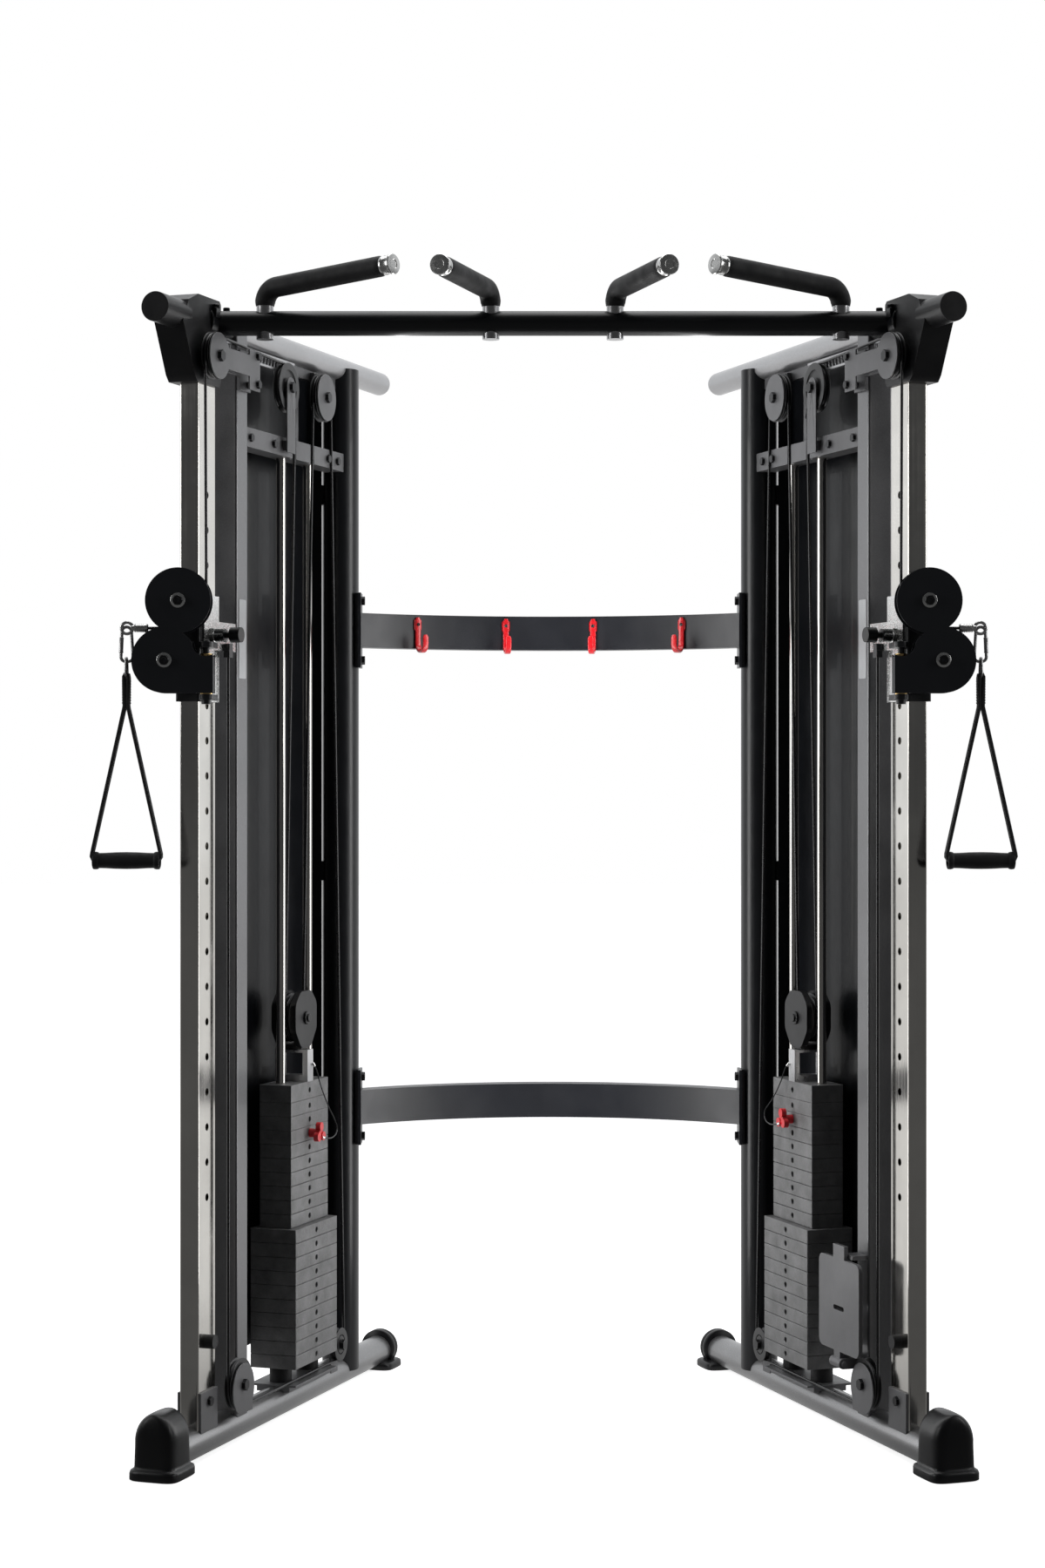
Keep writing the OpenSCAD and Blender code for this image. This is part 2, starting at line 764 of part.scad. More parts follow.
sleeve_gap = 1;                     // clearance between the sleeve and the column
sleeve_x = column_w / 2 + 6;        // outer face of the sleeve
plate_x = sleeve_x + 6;             // inner face of the bright bracket plate

module lug(z0, z1) {
    translate([0, 0, z0]) linear_extrude(z1 - z0) difference() {
        union() {
            translate([pivot_x, pivot_y]) circle(13.5);
            polygon([[plate_x - eps, 113], [plate_x - eps, 142], [44, 142], [59, 92], [37, 78]]);
        }
        translate([pivot_x, pivot_y]) circle(6);
    }
}

module carriage(side) {
    color(black) place(side) {
        difference() {
            union() {
                translate([0, column_y, sleeve_low]) linear_extrude(sleeve_high - sleeve_low)
                    rounded(2 * sleeve_x, column_d + 12, 5);
                side_plate(sleeve_x - eps, plate_x) {
                    difference() {
                        translate([112, 1498]) square([136, 53]);
                        for (y = [176, 204, 232]) translate([y, latch_z]) rounded(12, 24, 5.9);
                    }
                    translate([116, sleeve_low]) square([36, sleeve_high - sleeve_low]);
                }
                lug(sleeve_low + 2, sleeve_low + 12);
                lug(1500, 1510);
                across(column_y, latch_z, plate_x - eps, plate_x + 26, 12);
                // eye that holds the cable's fixed end
                translate(anchor) difference() {
                    translate([0, 0, 3]) cube([12, 16, 14], center = true);
                    translate([0, 0, -8]) cylinder(h = 10, r = cable_r + 0.2);
                }
                block([plate_x - 2, 198, 1499], [low_plane + 6, 212, 1512]);
            }
            translate([0, column_y, sleeve_low - 1]) linear_extrude(sleeve_high - sleeve_low + 2)
                rounded(column_w + 2 * sleeve_gap, column_d + 2 * sleeve_gap, 4);
            across(column_y, latch_z, 10, 90, 6.2);
        }
        translate([pivot_x, pivot_y, sleeve_low - 4]) cylinder(h = 1516 - sleeve_low, r = 6);
        translate([pivot_x, pivot_y, sleeve_low - 6]) cylinder(h = 8, r = 9);
    }
}

module latch_pin(side) {
    color(red) place(side) {
        across(column_y, latch_z, column_w / 2 + 0.5, plate_x + 40, 6);
        across(column_y, latch_z, plate_x + 38, plate_x + 58, 14);
    }
}

// ---------- pulley arm ----------

module arm_outline() {
    difference() {
        union() {
            translate(arm_up) circle(cover_r);
            translate(arm_low) circle(cover_r);
            translate([-14, 1416]) square([arm_low[0] + 14, 76]);
        }
        translate([0, 1507]) circle(24);
    }
}

module pulley_arm(side) {
    color(slate) place(side) arm_frame() difference() {
        union() {
            for (s = [-1, 1]) translate([0, s > 0 ? cover_out : -cover_in, 0])
                rotate([90, 0, 0]) linear_extrude(cover_out - cover_in, $fn = 96) arm_outline();
            block([-13, -cover_in - eps, 1416], [19, cover_in + eps, 1483]);
            for (p = [arm_up, arm_low]) {
                translate([p[0], -cover_out - eps, p[1]]) rotate([-90, 0, 0])
                    cylinder(h = 2 * cover_out + 2 * eps, r = 6);
                for (s = [-1, 1]) translate([p[0], s * (cover_out + 3), p[1]]) rotate([90, 0, 0])
                    cylinder(h = 6 + eps, r = 10, center = true, $fn = 6);
            }
        }
        translate([0, 0, 1400]) cylinder(h = 120, r = 6.06);
    }
}

module arm_pulley(side, p) {
    color(black) place(side) arm_frame() translate([p[0], 0, p[1]]) rotate([0, 0, 90])
        pulley(arm_pulley_r, 22, 6.06);
}

// ---------- moving stack ----------

module stack_head(side) {
    k = side < 0 ? 0 : 1;
    color(plate_steel) place(side) {
        for (i = [1 : selected[k]]) translate([0, 0, head_z - i * plate_pitch]) narrow_plate();
        translate([0, 0, head_z]) stack_plate(68, 186, head_t);
    }
}

// stem with its cross holes, the bright U yoke on the head plate and the block of the moving pulley
module stack_yoke(side) {
    block_z = stack_pulley[1];
    color(silver) place(side) {
        difference() {
            union() {
                translate([0, stack_y, stack_z + 6]) cylinder(h = head_top - stack_z + 4, r = 11);
                block([-35, stack_y - 14, head_top], [35, stack_y + 14, head_top + 13]);
                for (s = [-1, 1]) {
                    block([s > 0 ? 24 : -35, stack_y - 14, head_top], [s > 0 ? 35 : -24, stack_y + 14, 720]);
                }
                block([-35, stack_y - 14, 714], [35, stack_y + 14, 720]);
                block([-17, stack_y - 22, 720 - eps], [17, stack_y + 22, 730]);
                for (s = [-1, 1]) side_plate(s > 0 ? 10 : -25, s > 0 ? 25 : -10) {
                    translate([stack_y, block_z]) circle(52);
                    translate([stack_y - 22, 722]) square([44, 30]);
                }
                across(stack_y, block_z, -30, 30, 6);
            }
            for (i = [0 : wide_plates + narrow_plates - 1]) {
                across(stack_y, stack_z + i * plate_pitch + plate_t / 2, -20, 20, 5.5);
            }
        }
    }
}

function pin_z(side) = head_z - selected[side < 0 ? 0 : 1] * plate_pitch + plate_t / 2;

module selector_pin(side) {
    color(red) place(side) translate([0, 0, pin_z(side)]) {
        across(stack_y, 0, -9, 40, 5);
        across(stack_y, 0, 35, 58, 9);
        for (a = [90, 210, 330]) {
            translate([50, stack_y + 13 * cos(a), 13 * sin(a)]) rotate([0, 90, 0]) cylinder(h = 10, r = 9);
        }
    }
}

// cord from the yoke to the pin, which hangs in a loop across the plates
lanyard_left = [[37.5, 606, 690], [42, 612, 676], [46, 620, 650], [50, 634, 622], [53, 650, 598],
    [56, 664, 580], [59, 672, 565], [62, 670, 553], [64, 658, 545], [65, 640, 541], [65, 622, 541],
    [63.5, 608, 543], [61.8, 598, 545]];
module pin_lanyard(side) {
    drop = pin_z(side) - pin_z(-1);
    color(black) place(side)
        swept([for (i = [0 : len(lanyard_left) - 1])
            lanyard_left[i] + [0, 0, drop * min(1, i / 6)]], 1.25, 8);
}

// ---------- cable end and handle ----------

module cable_stop(side) {
    eye_x = hang_x - 1;
    color(silver) place(side) arm_frame() {
        run([stop_x, 0, exit_z], [stop_x + 17, 0, exit_z], 11);
        run([stop_x + 16, 0, exit_z], [eye_x - 12, 0, exit_z], 5);
        translate([eye_x, 0, exit_z]) rotate([90, 0, 0]) rotate_extrude()
            translate([13, 0]) circle(3.5, $fn = 24);
        translate([hang_x - 1, 0, (exit_z + ring_z) / 2 - 4]) rotate([0, 0, 90])
            wire_loop(22, exit_z - ring_z + 5, 8, 3);
    }
}

module handle_strap(side) {
    split_z = 1392;
    tab_z = 1447;
    half = grip_length / 2;
    color(black) place(side) arm_frame() translate([hang_x, 0, 0]) {
        translate([0, 0, ring_z - 14]) wire_loop(15, 28, 6, 3);
        rotate([90, 0, 0]) translate([0, 0, -12]) linear_extrude(24) difference() {
            polygon([[-5, tab_z - 4], [5, tab_z - 4], [6, split_z], [half + 6, grip_z + 20],
                [half + 6, grip_z - 14], [-half - 6, grip_z - 14], [-half - 6, grip_z + 20], [-6, split_z]]);
            polygon([[0, split_z], [half + 1, grip_z + 18], [half + 1, grip_z - 15],
                [-half - 1, grip_z - 15], [-half - 1, grip_z + 18]]);
        }
    }
}

module handle_grip(side) {
    color(black) place(side) arm_frame() translate([hang_x, 0, grip_z]) difference() {
        run([-grip_length / 2, 0, 0], [grip_length / 2, 0, 0], grip_r);
        run([-grip_length / 2 - 1, 0, 0], [grip_length / 2 + 1, 0, 0], 7);
    }
}

// frame pulley, in the cable plane x
module frame_pulley(side, x, p) {
    color(black) place(side) translate([x, p[0], p[1]]) pulley(p[2], pulley_w, 6.06);
}

base_tubes();
feet();
front_columns();
middle_uprights();
rear_columns();
top_tubes();
top_caps();
shrouds();
rod_brackets();
guide_rods();
stack_bases();
rubber_bumpers();
resting_plates();
upper_crossbar();
lower_crossbar();
accessory_hooks();
pull_up_bar();
pull_up_handles();
pull_up_grips();
pulley_brackets();
frame_bolts();
cables();
foot_plate_bracket();
foot_plate();
carriage(-1);  // carriage_left
latch_pin(-1);  // latch_pin_left
pulley_arm(-1);  // pulley_arm_left
stack_head(-1);  // stack_head_left
stack_yoke(-1);  // stack_yoke_left
selector_pin(-1);  // selector_pin_left
pin_lanyard(-1);  // pin_lanyard_left
cable_stop(-1);  // cable_stop_left
handle_strap(-1);  // handle_strap_left
handle_grip(-1);  // handle_grip_left
frame_pulley(-1, top_plane, top_front);  // top_front_pulley_left
frame_pulley(-1, hang_plane, top_middle);  // top_middle_pulley_left
frame_pulley(-1, hang_plane, top_rear);  // top_rear_pulley_left
frame_pulley(-1, low_plane, rear_bottom);  // rear_bottom_pulley_left
frame_pulley(-1, low_plane, front_bottom);  // front_bottom_pulley_left
frame_pulley(-1, 0, stack_pulley);  // stack_pulley_left
arm_pulley(-1, arm_up);  // arm_upper_pulley_left
arm_pulley(-1, arm_low);  // arm_lower_pulley_left
carriage(1);  // carriage_right
latch_pin(1);  // latch_pin_right
pulley_arm(1);  // pulley_arm_right
stack_head(1);  // stack_head_right
stack_yoke(1);  // stack_yoke_right
selector_pin(1);  // selector_pin_right
pin_lanyard(1);  // pin_lanyard_right
cable_stop(1);  // cable_stop_right
handle_strap(1);  // handle_strap_right
handle_grip(1);  // handle_grip_right
frame_pulley(1, top_plane, top_front);  // top_front_pulley_right
frame_pulley(1, hang_plane, top_middle);  // top_middle_pulley_right
frame_pulley(1, hang_plane, top_rear);  // top_rear_pulley_right
frame_pulley(1, low_plane, rear_bottom);  // rear_bottom_pulley_right
frame_pulley(1, low_plane, front_bottom);  // front_bottom_pulley_right
frame_pulley(1, 0, stack_pulley);  // stack_pulley_right
arm_pulley(1, arm_up);  // arm_upper_pulley_right
arm_pulley(1, arm_low);  // arm_lower_pulley_right
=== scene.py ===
"""Looks of the functional trainer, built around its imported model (metres, +Z up)."""

import json
import math

import bmesh
import bpy
import numpy as np
from mathutils import Matrix, Vector


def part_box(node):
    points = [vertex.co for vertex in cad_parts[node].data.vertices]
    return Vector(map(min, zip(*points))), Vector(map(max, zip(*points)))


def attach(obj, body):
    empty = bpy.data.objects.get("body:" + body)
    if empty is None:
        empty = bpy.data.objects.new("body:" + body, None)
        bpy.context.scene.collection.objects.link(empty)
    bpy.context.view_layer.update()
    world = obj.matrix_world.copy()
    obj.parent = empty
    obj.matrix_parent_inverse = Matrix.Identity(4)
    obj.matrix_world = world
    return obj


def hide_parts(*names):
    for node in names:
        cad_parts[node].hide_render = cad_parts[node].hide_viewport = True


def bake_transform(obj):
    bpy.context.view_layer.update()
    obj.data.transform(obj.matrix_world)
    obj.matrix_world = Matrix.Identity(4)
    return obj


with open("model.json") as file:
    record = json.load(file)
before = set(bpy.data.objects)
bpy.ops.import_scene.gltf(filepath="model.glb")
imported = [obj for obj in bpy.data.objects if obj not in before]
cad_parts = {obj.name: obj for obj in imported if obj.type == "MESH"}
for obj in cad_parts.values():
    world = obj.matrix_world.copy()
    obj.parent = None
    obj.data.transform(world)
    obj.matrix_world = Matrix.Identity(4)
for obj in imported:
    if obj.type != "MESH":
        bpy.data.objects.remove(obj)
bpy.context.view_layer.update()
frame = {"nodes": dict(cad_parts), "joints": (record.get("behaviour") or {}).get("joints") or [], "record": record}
NODES = frame["nodes"]
RECORD = frame["record"]
JOINTS = {j["name"]: j for j in frame["joints"]}
SIDES = {-1: "left", 1: "right"}
MM = 0.001

# ---------- places: the left tower's own frame in mm, as the CAD draws it ----------

PIVOT_AT = (46, 88)
PIVOT = Vector(JOINTS["arm_swivel_left"]["pos_m"])
PIVOT.z = 0
ACROSS = Vector(JOINTS["latch_pin_pull_left"]["axis"])
ALONG = Vector((-ACROSS.y, ACROSS.x, 0))
TOWER_ORIGIN = PIVOT - MM * (PIVOT_AT[0] * ACROSS + PIVOT_AT[1] * ALONG)

BASE_LENGTH, TOP_Z = 1053, 2110
COLUMN_Y, STACK_Y, REAR_Y = 148, 596, 837
TOP_FRONT, TOP_MIDDLE, TOP_REAR = (136, 2040, 40), (506, 2030, 45), (686, 2033, 45)
REAR_BOTTOM, FRONT_BOTTOM, STACK_PULLEY = (738, 105, 30), (250, 120, 45), (596, 783, 45)
TOP_PLANE, HANG_PLANE, LOW_PLANE = 40, 22, 36
ANCHOR = (36, 205, 1490)
ARM_UP, ARM_LOW, ARM_R = (50, 1585), (75, 1476), 50
EXIT_Z, STOP_X, HANG_X, RING_Z, GRIP_Z = 1535, 106, 146, 1474, 1110
CABLE_R = 2.75


def mirrored(side):
    return Matrix.Identity(4) if side < 0 else Matrix.Scale(-1, 4, (1, 0, 0))


def tower(side):
    """mm in a tower's frame to metres in the machine."""
    m = Matrix.Identity(4)
    m.col[0][:3] = ACROSS * MM
    m.col[1][:3] = ALONG * MM
    m.col[2][:3] = (0, 0, MM)
    m.col[3][:3] = TOWER_ORIGIN
    return mirrored(side) @ m


def arm(side):
    """mm from the arm's swivel axis (x out along the arm, y to the front) to metres."""
    m = Matrix.Diagonal((-MM, -MM, MM, 1))
    m.col[3][:3] = PIVOT
    return mirrored(side) @ m


MACHINE = Matrix.Diagonal((MM, MM, MM, 1))

# ---------- camera ----------

camera = bpy.data.objects.new("camera", bpy.data.cameras.new("camera"))
camera.data.lens = 66
camera.data.sensor_width = 36
CAMERA_X, CAMERA_BACK, CAMERA_Z = -0.057, 5.257, 1.25  # metres, back from the arms' swivel axes
camera.location = (CAMERA_X, PIVOT.y - CAMERA_BACK, CAMERA_Z)
camera.rotation_euler = (math.pi / 2, 0, 0)
bpy.context.scene.collection.objects.link(camera)
bpy.context.scene.camera = camera

# ---------- materials ----------


class Look:
    """A node material with one Principled shader and short calls for its textures."""

    def __init__(self, name, metal=0.0, coat=0.0, ior=1.5):
        self.material = bpy.data.materials.new(name)
        self.material.use_nodes = True
        self.tree = self.material.node_tree
        self.shader = self.tree.nodes["Principled BSDF"]
        self.shader.inputs["Metallic"].default_value = metal
        self.shader.inputs["Coat Weight"].default_value = coat
        self.shader.inputs["IOR"].default_value = ior
        self.bumped = None
        self.coordinates = self.node("ShaderNodeTexCoord")

    def node(self, kind, **values):
        n = self.tree.nodes.new(kind)
        for key, value in values.items():
            setattr(n, key, value)
        return n

    def link(self, a, b):
        self.tree.links.new(a, b)

    def place(self, stretch=(1, 1, 1), uv=False):
        m = self.node("ShaderNodeMapping")
        m.inputs["Scale"].default_value = stretch
        self.link(self.coordinates.outputs["UV" if uv else "Object"], m.inputs["Vector"])
        return m.outputs["Vector"]

    def noise(self, scale, detail=3.0, rough=0.55, stretch=(1, 1, 1), uv=False):
        n = self.node("ShaderNodeTexNoise")
        n.inputs["Scale"].default_value = scale
        n.inputs["Detail"].default_value = detail
        n.inputs["Roughness"].default_value = rough
        self.link(self.place(stretch, uv), n.inputs["Vector"])
        return n.outputs["Fac"]

    def cells(self, scale):
        n = self.node("ShaderNodeTexVoronoi", feature="F1")
        n.inputs["Scale"].default_value = scale
        self.link(self.place(), n.inputs["Vector"])
        return n.outputs["Distance"]

    def math(self, kind, a, b=None):
        n = self.node("ShaderNodeMath", operation=kind)
        for socket, value in zip(n.inputs, (a, b)):
            if isinstance(value, (int, float)):
                socket.default_value = value
            elif value is not None:
                self.link(value, socket)
        return n.outputs[0]

    def ramp(self, fac, stops):
        n = self.node("ShaderNodeValToRGB")
        while len(n.color_ramp.elements) < len(stops):
            n.color_ramp.elements.new(0.5)
        for element, (at, colour) in zip(n.color_ramp.elements, stops):
            element.position = at
            element.color = (*colour, 1) if isinstance(colour, tuple) else (colour, colour, colour, 1)
        self.link(fac, n.inputs["Fac"])
        return n.outputs["Color"]

    def span(self, fac, low, high, start=0.3, end=0.7):
        n = self.node("ShaderNodeMapRange")
        for key, value in zip(("From Min", "From Max", "To Min", "To Max"), (start, end, low, high)):
            n.inputs[key].default_value = value
        self.link(fac, n.inputs["Value"])
        return n.outputs["Result"]

    def mix(self, fac, a, b):
        n = self.node("ShaderNodeMix", data_type="RGBA")
        self.link(fac, n.inputs[0])
        for socket, value in ((n.inputs[6], a), (n.inputs[7], b)):
            if isinstance(value, tuple):
                socket.default_value = (*value, 1)
            else:
                self.link(value, socket)
        return n.outputs[2]

    def bump(self, height, distance, strength=1.0):
        n = self.node("ShaderNodeBump")
        n.inputs["Distance"].default_value = distance
        n.inputs["Strength"].default_value = strength
        self.link(height, n.inputs["Height"])
        if self.bumped is not None:
            self.link(self.bumped, n.inputs["Normal"])
        self.bumped = n.outputs["Normal"]
        self.link(self.bumped, self.shader.inputs["Normal"])

    def edges(self, radius):
        """0 on flat faces, 1 on convex and concave edges."""
        round_off = self.node("ShaderNodeBevel", samples=4)
        round_off.inputs["Radius"].default_value = radius
        true = self.node("ShaderNodeNewGeometry")
        dot = self.node("ShaderNodeVectorMath", operation="DOT_PRODUCT")
        self.link(round_off.outputs["Normal"], dot.inputs[0])
        self.link(true.outputs["Normal"], dot.inputs[1])
        return self.span(dot.outputs["Value"], 1, 0, 0.86, 0.99)

    def set(self, colour=None, rough=None):
        for name, value in (("Base Color", colour), ("Roughness", rough)):
            if value is not None:
                self.link(value, self.shader.inputs[name])
        return self


def tinted(colour, k):
    return tuple(min(1, c * k) for c in colour)


def painted(name, colour, rough=(0.32, 0.46), grain=520, depth=0.00012, coat=0.0, metal=0.0, worn=None,
            spread=0.16, specular=0.5):
    """Powder coat or moulded plastic: fine orange peel, uneven gloss, worn edges."""
    look = Look(name, metal=metal, coat=coat)
    look.shader.inputs["Specular IOR Level"].default_value = specular
    broad = look.noise(6, 5)
    fine = look.noise(grain, 2)
    shade = look.ramp(broad, [(0.3, tinted(colour, 1 - spread)), (0.7, tinted(colour, 1 + spread))])
    if worn:
        chips = look.math("MULTIPLY", look.edges(0.0012), look.span(look.noise(90, 4), 0, 1, 0.45, 0.62))
        shade = look.mix(chips, shade, worn)
    look.bump(fine, depth)
    return look.set(shade, look.span(look.noise(14, 6, 0.65), *rough)).material


def metal_flake(name, colour, rough=(0.26, 0.38)):
    """Silver or graphite metallic paint: bright flakes under a clear coat, faint dust."""
    look = Look(name, metal=0.85, coat=0.35)
    flakes = look.cells(900)
    shade = look.ramp(flakes, [(0.15, tinted(colour, 1.3)), (0.55, tinted(colour, 0.86))])
    shade = look.mix(look.span(look.noise(5, 6, 0.6), 0, 0.35), shade, tinted(colour, 0.72))
    look.bump(look.noise(420, 2), 0.00008)
    return look.set(shade, look.span(look.noise(9, 5), *rough)).material


def polished(name, colour, rough, lengthwise=1, scratches=260, smudge=0.1, relief=0.00003):
    """Chrome or bright steel: drawing lines along z, smudges."""
    look = Look(name, metal=1.0)
    stretch = (1, 1, 0.012) if lengthwise else (1, 1, 1)
    lines = look.noise(scratches, 3, 0.6, stretch)
    cloud = look.noise(7, 6, 0.6)
    shade = look.ramp(cloud, [(0.32, tinted(colour, 0.86)), (0.68, colour)])
    roughness = look.math("ADD", look.span(lines, *rough), look.span(cloud, 0, smudge, 0.5, 0.75))
    look.bump(lines, relief)
    return look.set(shade, roughness).material


def cast_iron(name, colour, worn):
    look = Look(name, metal=0.35)
    grit = look.noise(330, 6, 0.7)
    pits = look.cells(150)
    shade = look.ramp(look.noise(26, 6, 0.65), [(0.3, tinted(colour, 0.7)), (0.7, tinted(colour, 1.25))])
    rubbed = look.math("MULTIPLY", look.edges(0.0016), look.span(look.noise(60, 5), 0, 1, 0.4, 0.6))
    shade = look.mix(rubbed, shade, worn)
    look.bump(grit, 0.0004)
    look.bump(pits, 0.00035, 0.6)
    return look.set(shade, look.span(grit, 0.42, 0.62)).material


def rubbery(name, colour, rough=(0.5, 0.7), pebble=420, depth=0.0003):
    look = Look(name, ior=1.45)
    skin = look.cells(pebble)
    shade = look.ramp(look.noise(9, 5), [(0.3, tinted(colour, 0.75)), (0.7, tinted(colour, 1.3))])
    look.bump(skin, depth, 0.5)
    look.bump(look.noise(1300, 2), 0.00008)
    return look.set(shade, look.span(look.noise(30, 5), *rough)).material


def woven(name, colour, pitch=0.0016):
    """Webbing: diagonal ribs across and yarns along, on the piece's own u (length) and v."""
    look = Look(name, ior=1.4)
    look.shader.inputs["Sheen Weight"].default_value = 0.25
    split = look.node("ShaderNodeSeparateXYZ")
    look.link(look.place(uv=True), split.inputs[0])
    u, v = split.outputs["X"], split.outputs["Y"]
    turn = 2 * math.pi / pitch
    rows = look.math("SINE", look.math("MULTIPLY", look.math("ADD", u, look.math("MULTIPLY", v, 0.7)), turn))
    yarns = look.math("SINE", look.math("MULTIPLY", v, turn * 1.3))
    weave = look.math("MULTIPLY", rows, yarns)
    shade = look.ramp(look.span(weave, 0, 1, -1, 1), [(0.1, tinted(colour, 0.5)), (0.9, tinted(colour, 1.5))])
    look.bump(weave, 0.0003)
    look.bump(look.noise(900, 2), 0.0001)
    return look.set(shade, look.span(look.noise(40, 4), 0.7, 0.9)).material


LOOKS = {
    "frame_grey": metal_flake("frame_grey", (0.29, 0.29, 0.295), (0.3, 0.42)),
    "frame_black": painted("frame_black", (0.004, 0.0045, 0.006), (0.28, 0.38), coat=0.1, specular=0.4),
    "tube_silver": metal_flake("tube_silver", (0.46, 0.46, 0.47)),
    "column_chrome": polished("column_chrome", (0.74, 0.72, 0.68), (0.07, 0.17)),
    "rod_chrome": polished("rod_chrome", (0.62, 0.60, 0.57), (0.07, 0.1), scratches=120, smudge=0.03,
                           relief=0.000003),
    "moulded_black": painted("moulded_black", (0.005, 0.005, 0.006), (0.3, 0.44), 700, 0.0001, specular=0.36),
    "rubber": rubbery("rubber", (0.012, 0.012, 0.013)),
    "bracket_grey": painted("bracket_grey", (0.13, 0.13, 0.135), (0.36, 0.5), 460, 0.0002, metal=0.3,
                            worn=(0.4, 0.4, 0.4)),
    "stack_iron": cast_iron("stack_iron", (0.17, 0.17, 0.172), (0.3, 0.3, 0.3)),
    "crossbar_slate": painted("crossbar_slate", (0.011, 0.012, 0.016), (0.3, 0.42), worn=(0.12, 0.12, 0.13)),
    "hook_red": painted("hook_red", (0.62, 0.010, 0.016), (0.2, 0.34), coat=0.4),
    "pin_red": painted("pin_red", (0.66, 0.010, 0.018), (0.25, 0.38), coat=0.3),
    "grip_rubber": rubbery("grip_rubber", (0.009, 0.009, 0.010), (0.55, 0.75), 520, 0.0004),
    "bolt_zinc": painted("bolt_zinc", (0.03, 0.03, 0.032), (0.26, 0.42), metal=0.8, worn=(0.3, 0.3, 0.3)),
    "cable_black": painted("cable_black", (0.008, 0.008, 0.009), (0.22, 0.34), 900, 0.00006),
    "carriage_steel": painted("carriage_steel", (0.011, 0.012, 0.014), (0.3, 0.42), worn=(0.2, 0.2, 0.21)),
    "arm_slate": painted("arm_slate", (0.011, 0.0125, 0.0165), (0.34, 0.46), worn=(0.12, 0.12, 0.13)),
    "yoke_silver": polished("yoke_silver", (0.66, 0.66, 0.67), (0.24, 0.4), 0, 180),
    "pulley_black": painted("pulley_black", (0.010, 0.010, 0.011), (0.3, 0.45), 600, 0.0001),
    "webbing": woven("webbing", (0.012, 0.012, 0.013)),
}
BRASS = polished("brass", (0.66, 0.46, 0.2), (0.2, 0.32), 0, 200)
PLACARD = painted("placard", (0.42, 0.43, 0.44), (0.3, 0.4), metal=0.6)
PLATED = polished("plated", (0.7, 0.7, 0.69), (0.16, 0.3), 0, 300)
FORGED = polished("forged", (0.42, 0.42, 0.42), (0.22, 0.36), 0, 240)
# painted shade: the middle uprights share frame_grey's paint with the base tubes, but get a darker copy of it
UPRIGHT_SHADED_GREY = metal_flake("upright_grey_painted_shade", (0.16, 0.16, 0.165), (0.28, 0.4))

# ---------- mesh building ----------


def unit(v):
    return v / np.maximum(np.linalg.norm(v, axis=-1, keepdims=True), 1e-12)


def fillet(points, radius, steps=8, closed=False):
    """A polyline with its corners turned into arcs."""
    pts = [np.array(p, float) for p in points]
    n = len(pts)
    out = []
    for i, p in enumerate(pts):
        if not closed and i in (0, n - 1):
            out.append(p)
            continue
        a, b = pts[i - 1], pts[(i + 1) % n]
        u, v = unit(a - p), unit(b - p)
        angle = math.acos(max(-1, min(1, float(u @ v))))
        if angle > math.pi - 1e-3:
            out.append(p)
            continue
        reach = min(radius / math.tan(angle / 2), 0.49 * np.linalg.norm(a - p), 0.49 * np.linalg.norm(b - p))
        r = reach * math.tan(angle / 2)
        centre = p + unit(u + v) * r / math.sin(angle / 2)
        start, end = p + u * reach - centre, p + v * reach - centre
        turn = math.pi - angle
        for k in range(steps + 1):
            w = k / steps
            out.append(centre + (math.sin((1 - w) * turn) * start + math.sin(w * turn) * end) / math.sin(turn))
    return np.array(out)


def circle(r, n=16):
    return [(r * math.cos(2 * math.pi * k / n), r * math.sin(2 * math.pi * k / n)) for k in range(n)]


def oval(a, b, n=24, power=2.0):
    """Superellipse outline."""
    ring = []
    for k in range(n):
        c, s = math.cos(2 * math.pi * k / n), math.sin(2 * math.pi * k / n)
        ring.append((a * math.copysign(abs(c) ** (2 / power), c), b * math.copysign(abs(s) ** (2 / power), s)))
    return ring


def loft(rings, closed=False, uvs=None):
    """Skin over rings of equally many points, with flat ends unless closed."""
    rings = [np.asarray(r, float) for r in rings]
    m, n = len(rings), len(rings[0])
    verts = np.concatenate(rings)
    faces, uv = [], []
    for i in range(m if closed else m - 1):
        j = (i + 1) % m
        for k in range(n):
            q = (k + 1) % n
            faces.append((i * n + k, i * n + q, j * n + q, j * n + k))
            if uvs is not None:
                (u0, w), (u1, _) = uvs[i], uvs[i + 1 if not closed or i + 1 < len(uvs) else i]
                uv.append([(u0, w * k / n), (u0, w * (k + 1) / n), (u1, w * (k + 1) / n), (u1, w * k / n)])
            else:
                uv.append([(0, 0)] * 4)
    if not closed:
        faces += [tuple(range(n))[::-1], tuple((m - 1) * n + k for k in range(n))]
        uv += [[(0, 0)] * n] * 2
    return verts, faces, uv


def sweep(path, section, closed=False, up=(0.31, 0.17, 0.9), sizes=None):
    """section [(a, b)] in mm carried along path; a lies along up where it can."""
    p = np.asarray(path, float)
    n = len(p)
    forward, back = np.roll(p, -1, 0) - p, p - np.roll(p, 1, 0)
    if not closed:
        forward[-1], back[0] = back[-1], forward[0]
    tangents = unit(unit(forward) + unit(back))
    a = np.array(up, float)
    rings, uvs, length = [], [], 0.0
    around = sum(math.dist(section[k], section[k - 1]) for k in range(len(section)))
    for i in range(n):
        a = unit(a - tangents[i] * (a @ tangents[i]))
        b = np.cross(tangents[i], a)
        size = 1.0 if sizes is None else sizes[i]
        rings.append([p[i] + size * (s[0] * a + s[1] * b) for s in section])
        if i:
            length += float(np.linalg.norm(p[i] - p[i - 1]))
        uvs.append((length * MM, around * MM))
    if closed:
        uvs.append(((length + float(np.linalg.norm(p[0] - p[-1]))) * MM, around * MM))
    return loft(rings, closed, uvs)


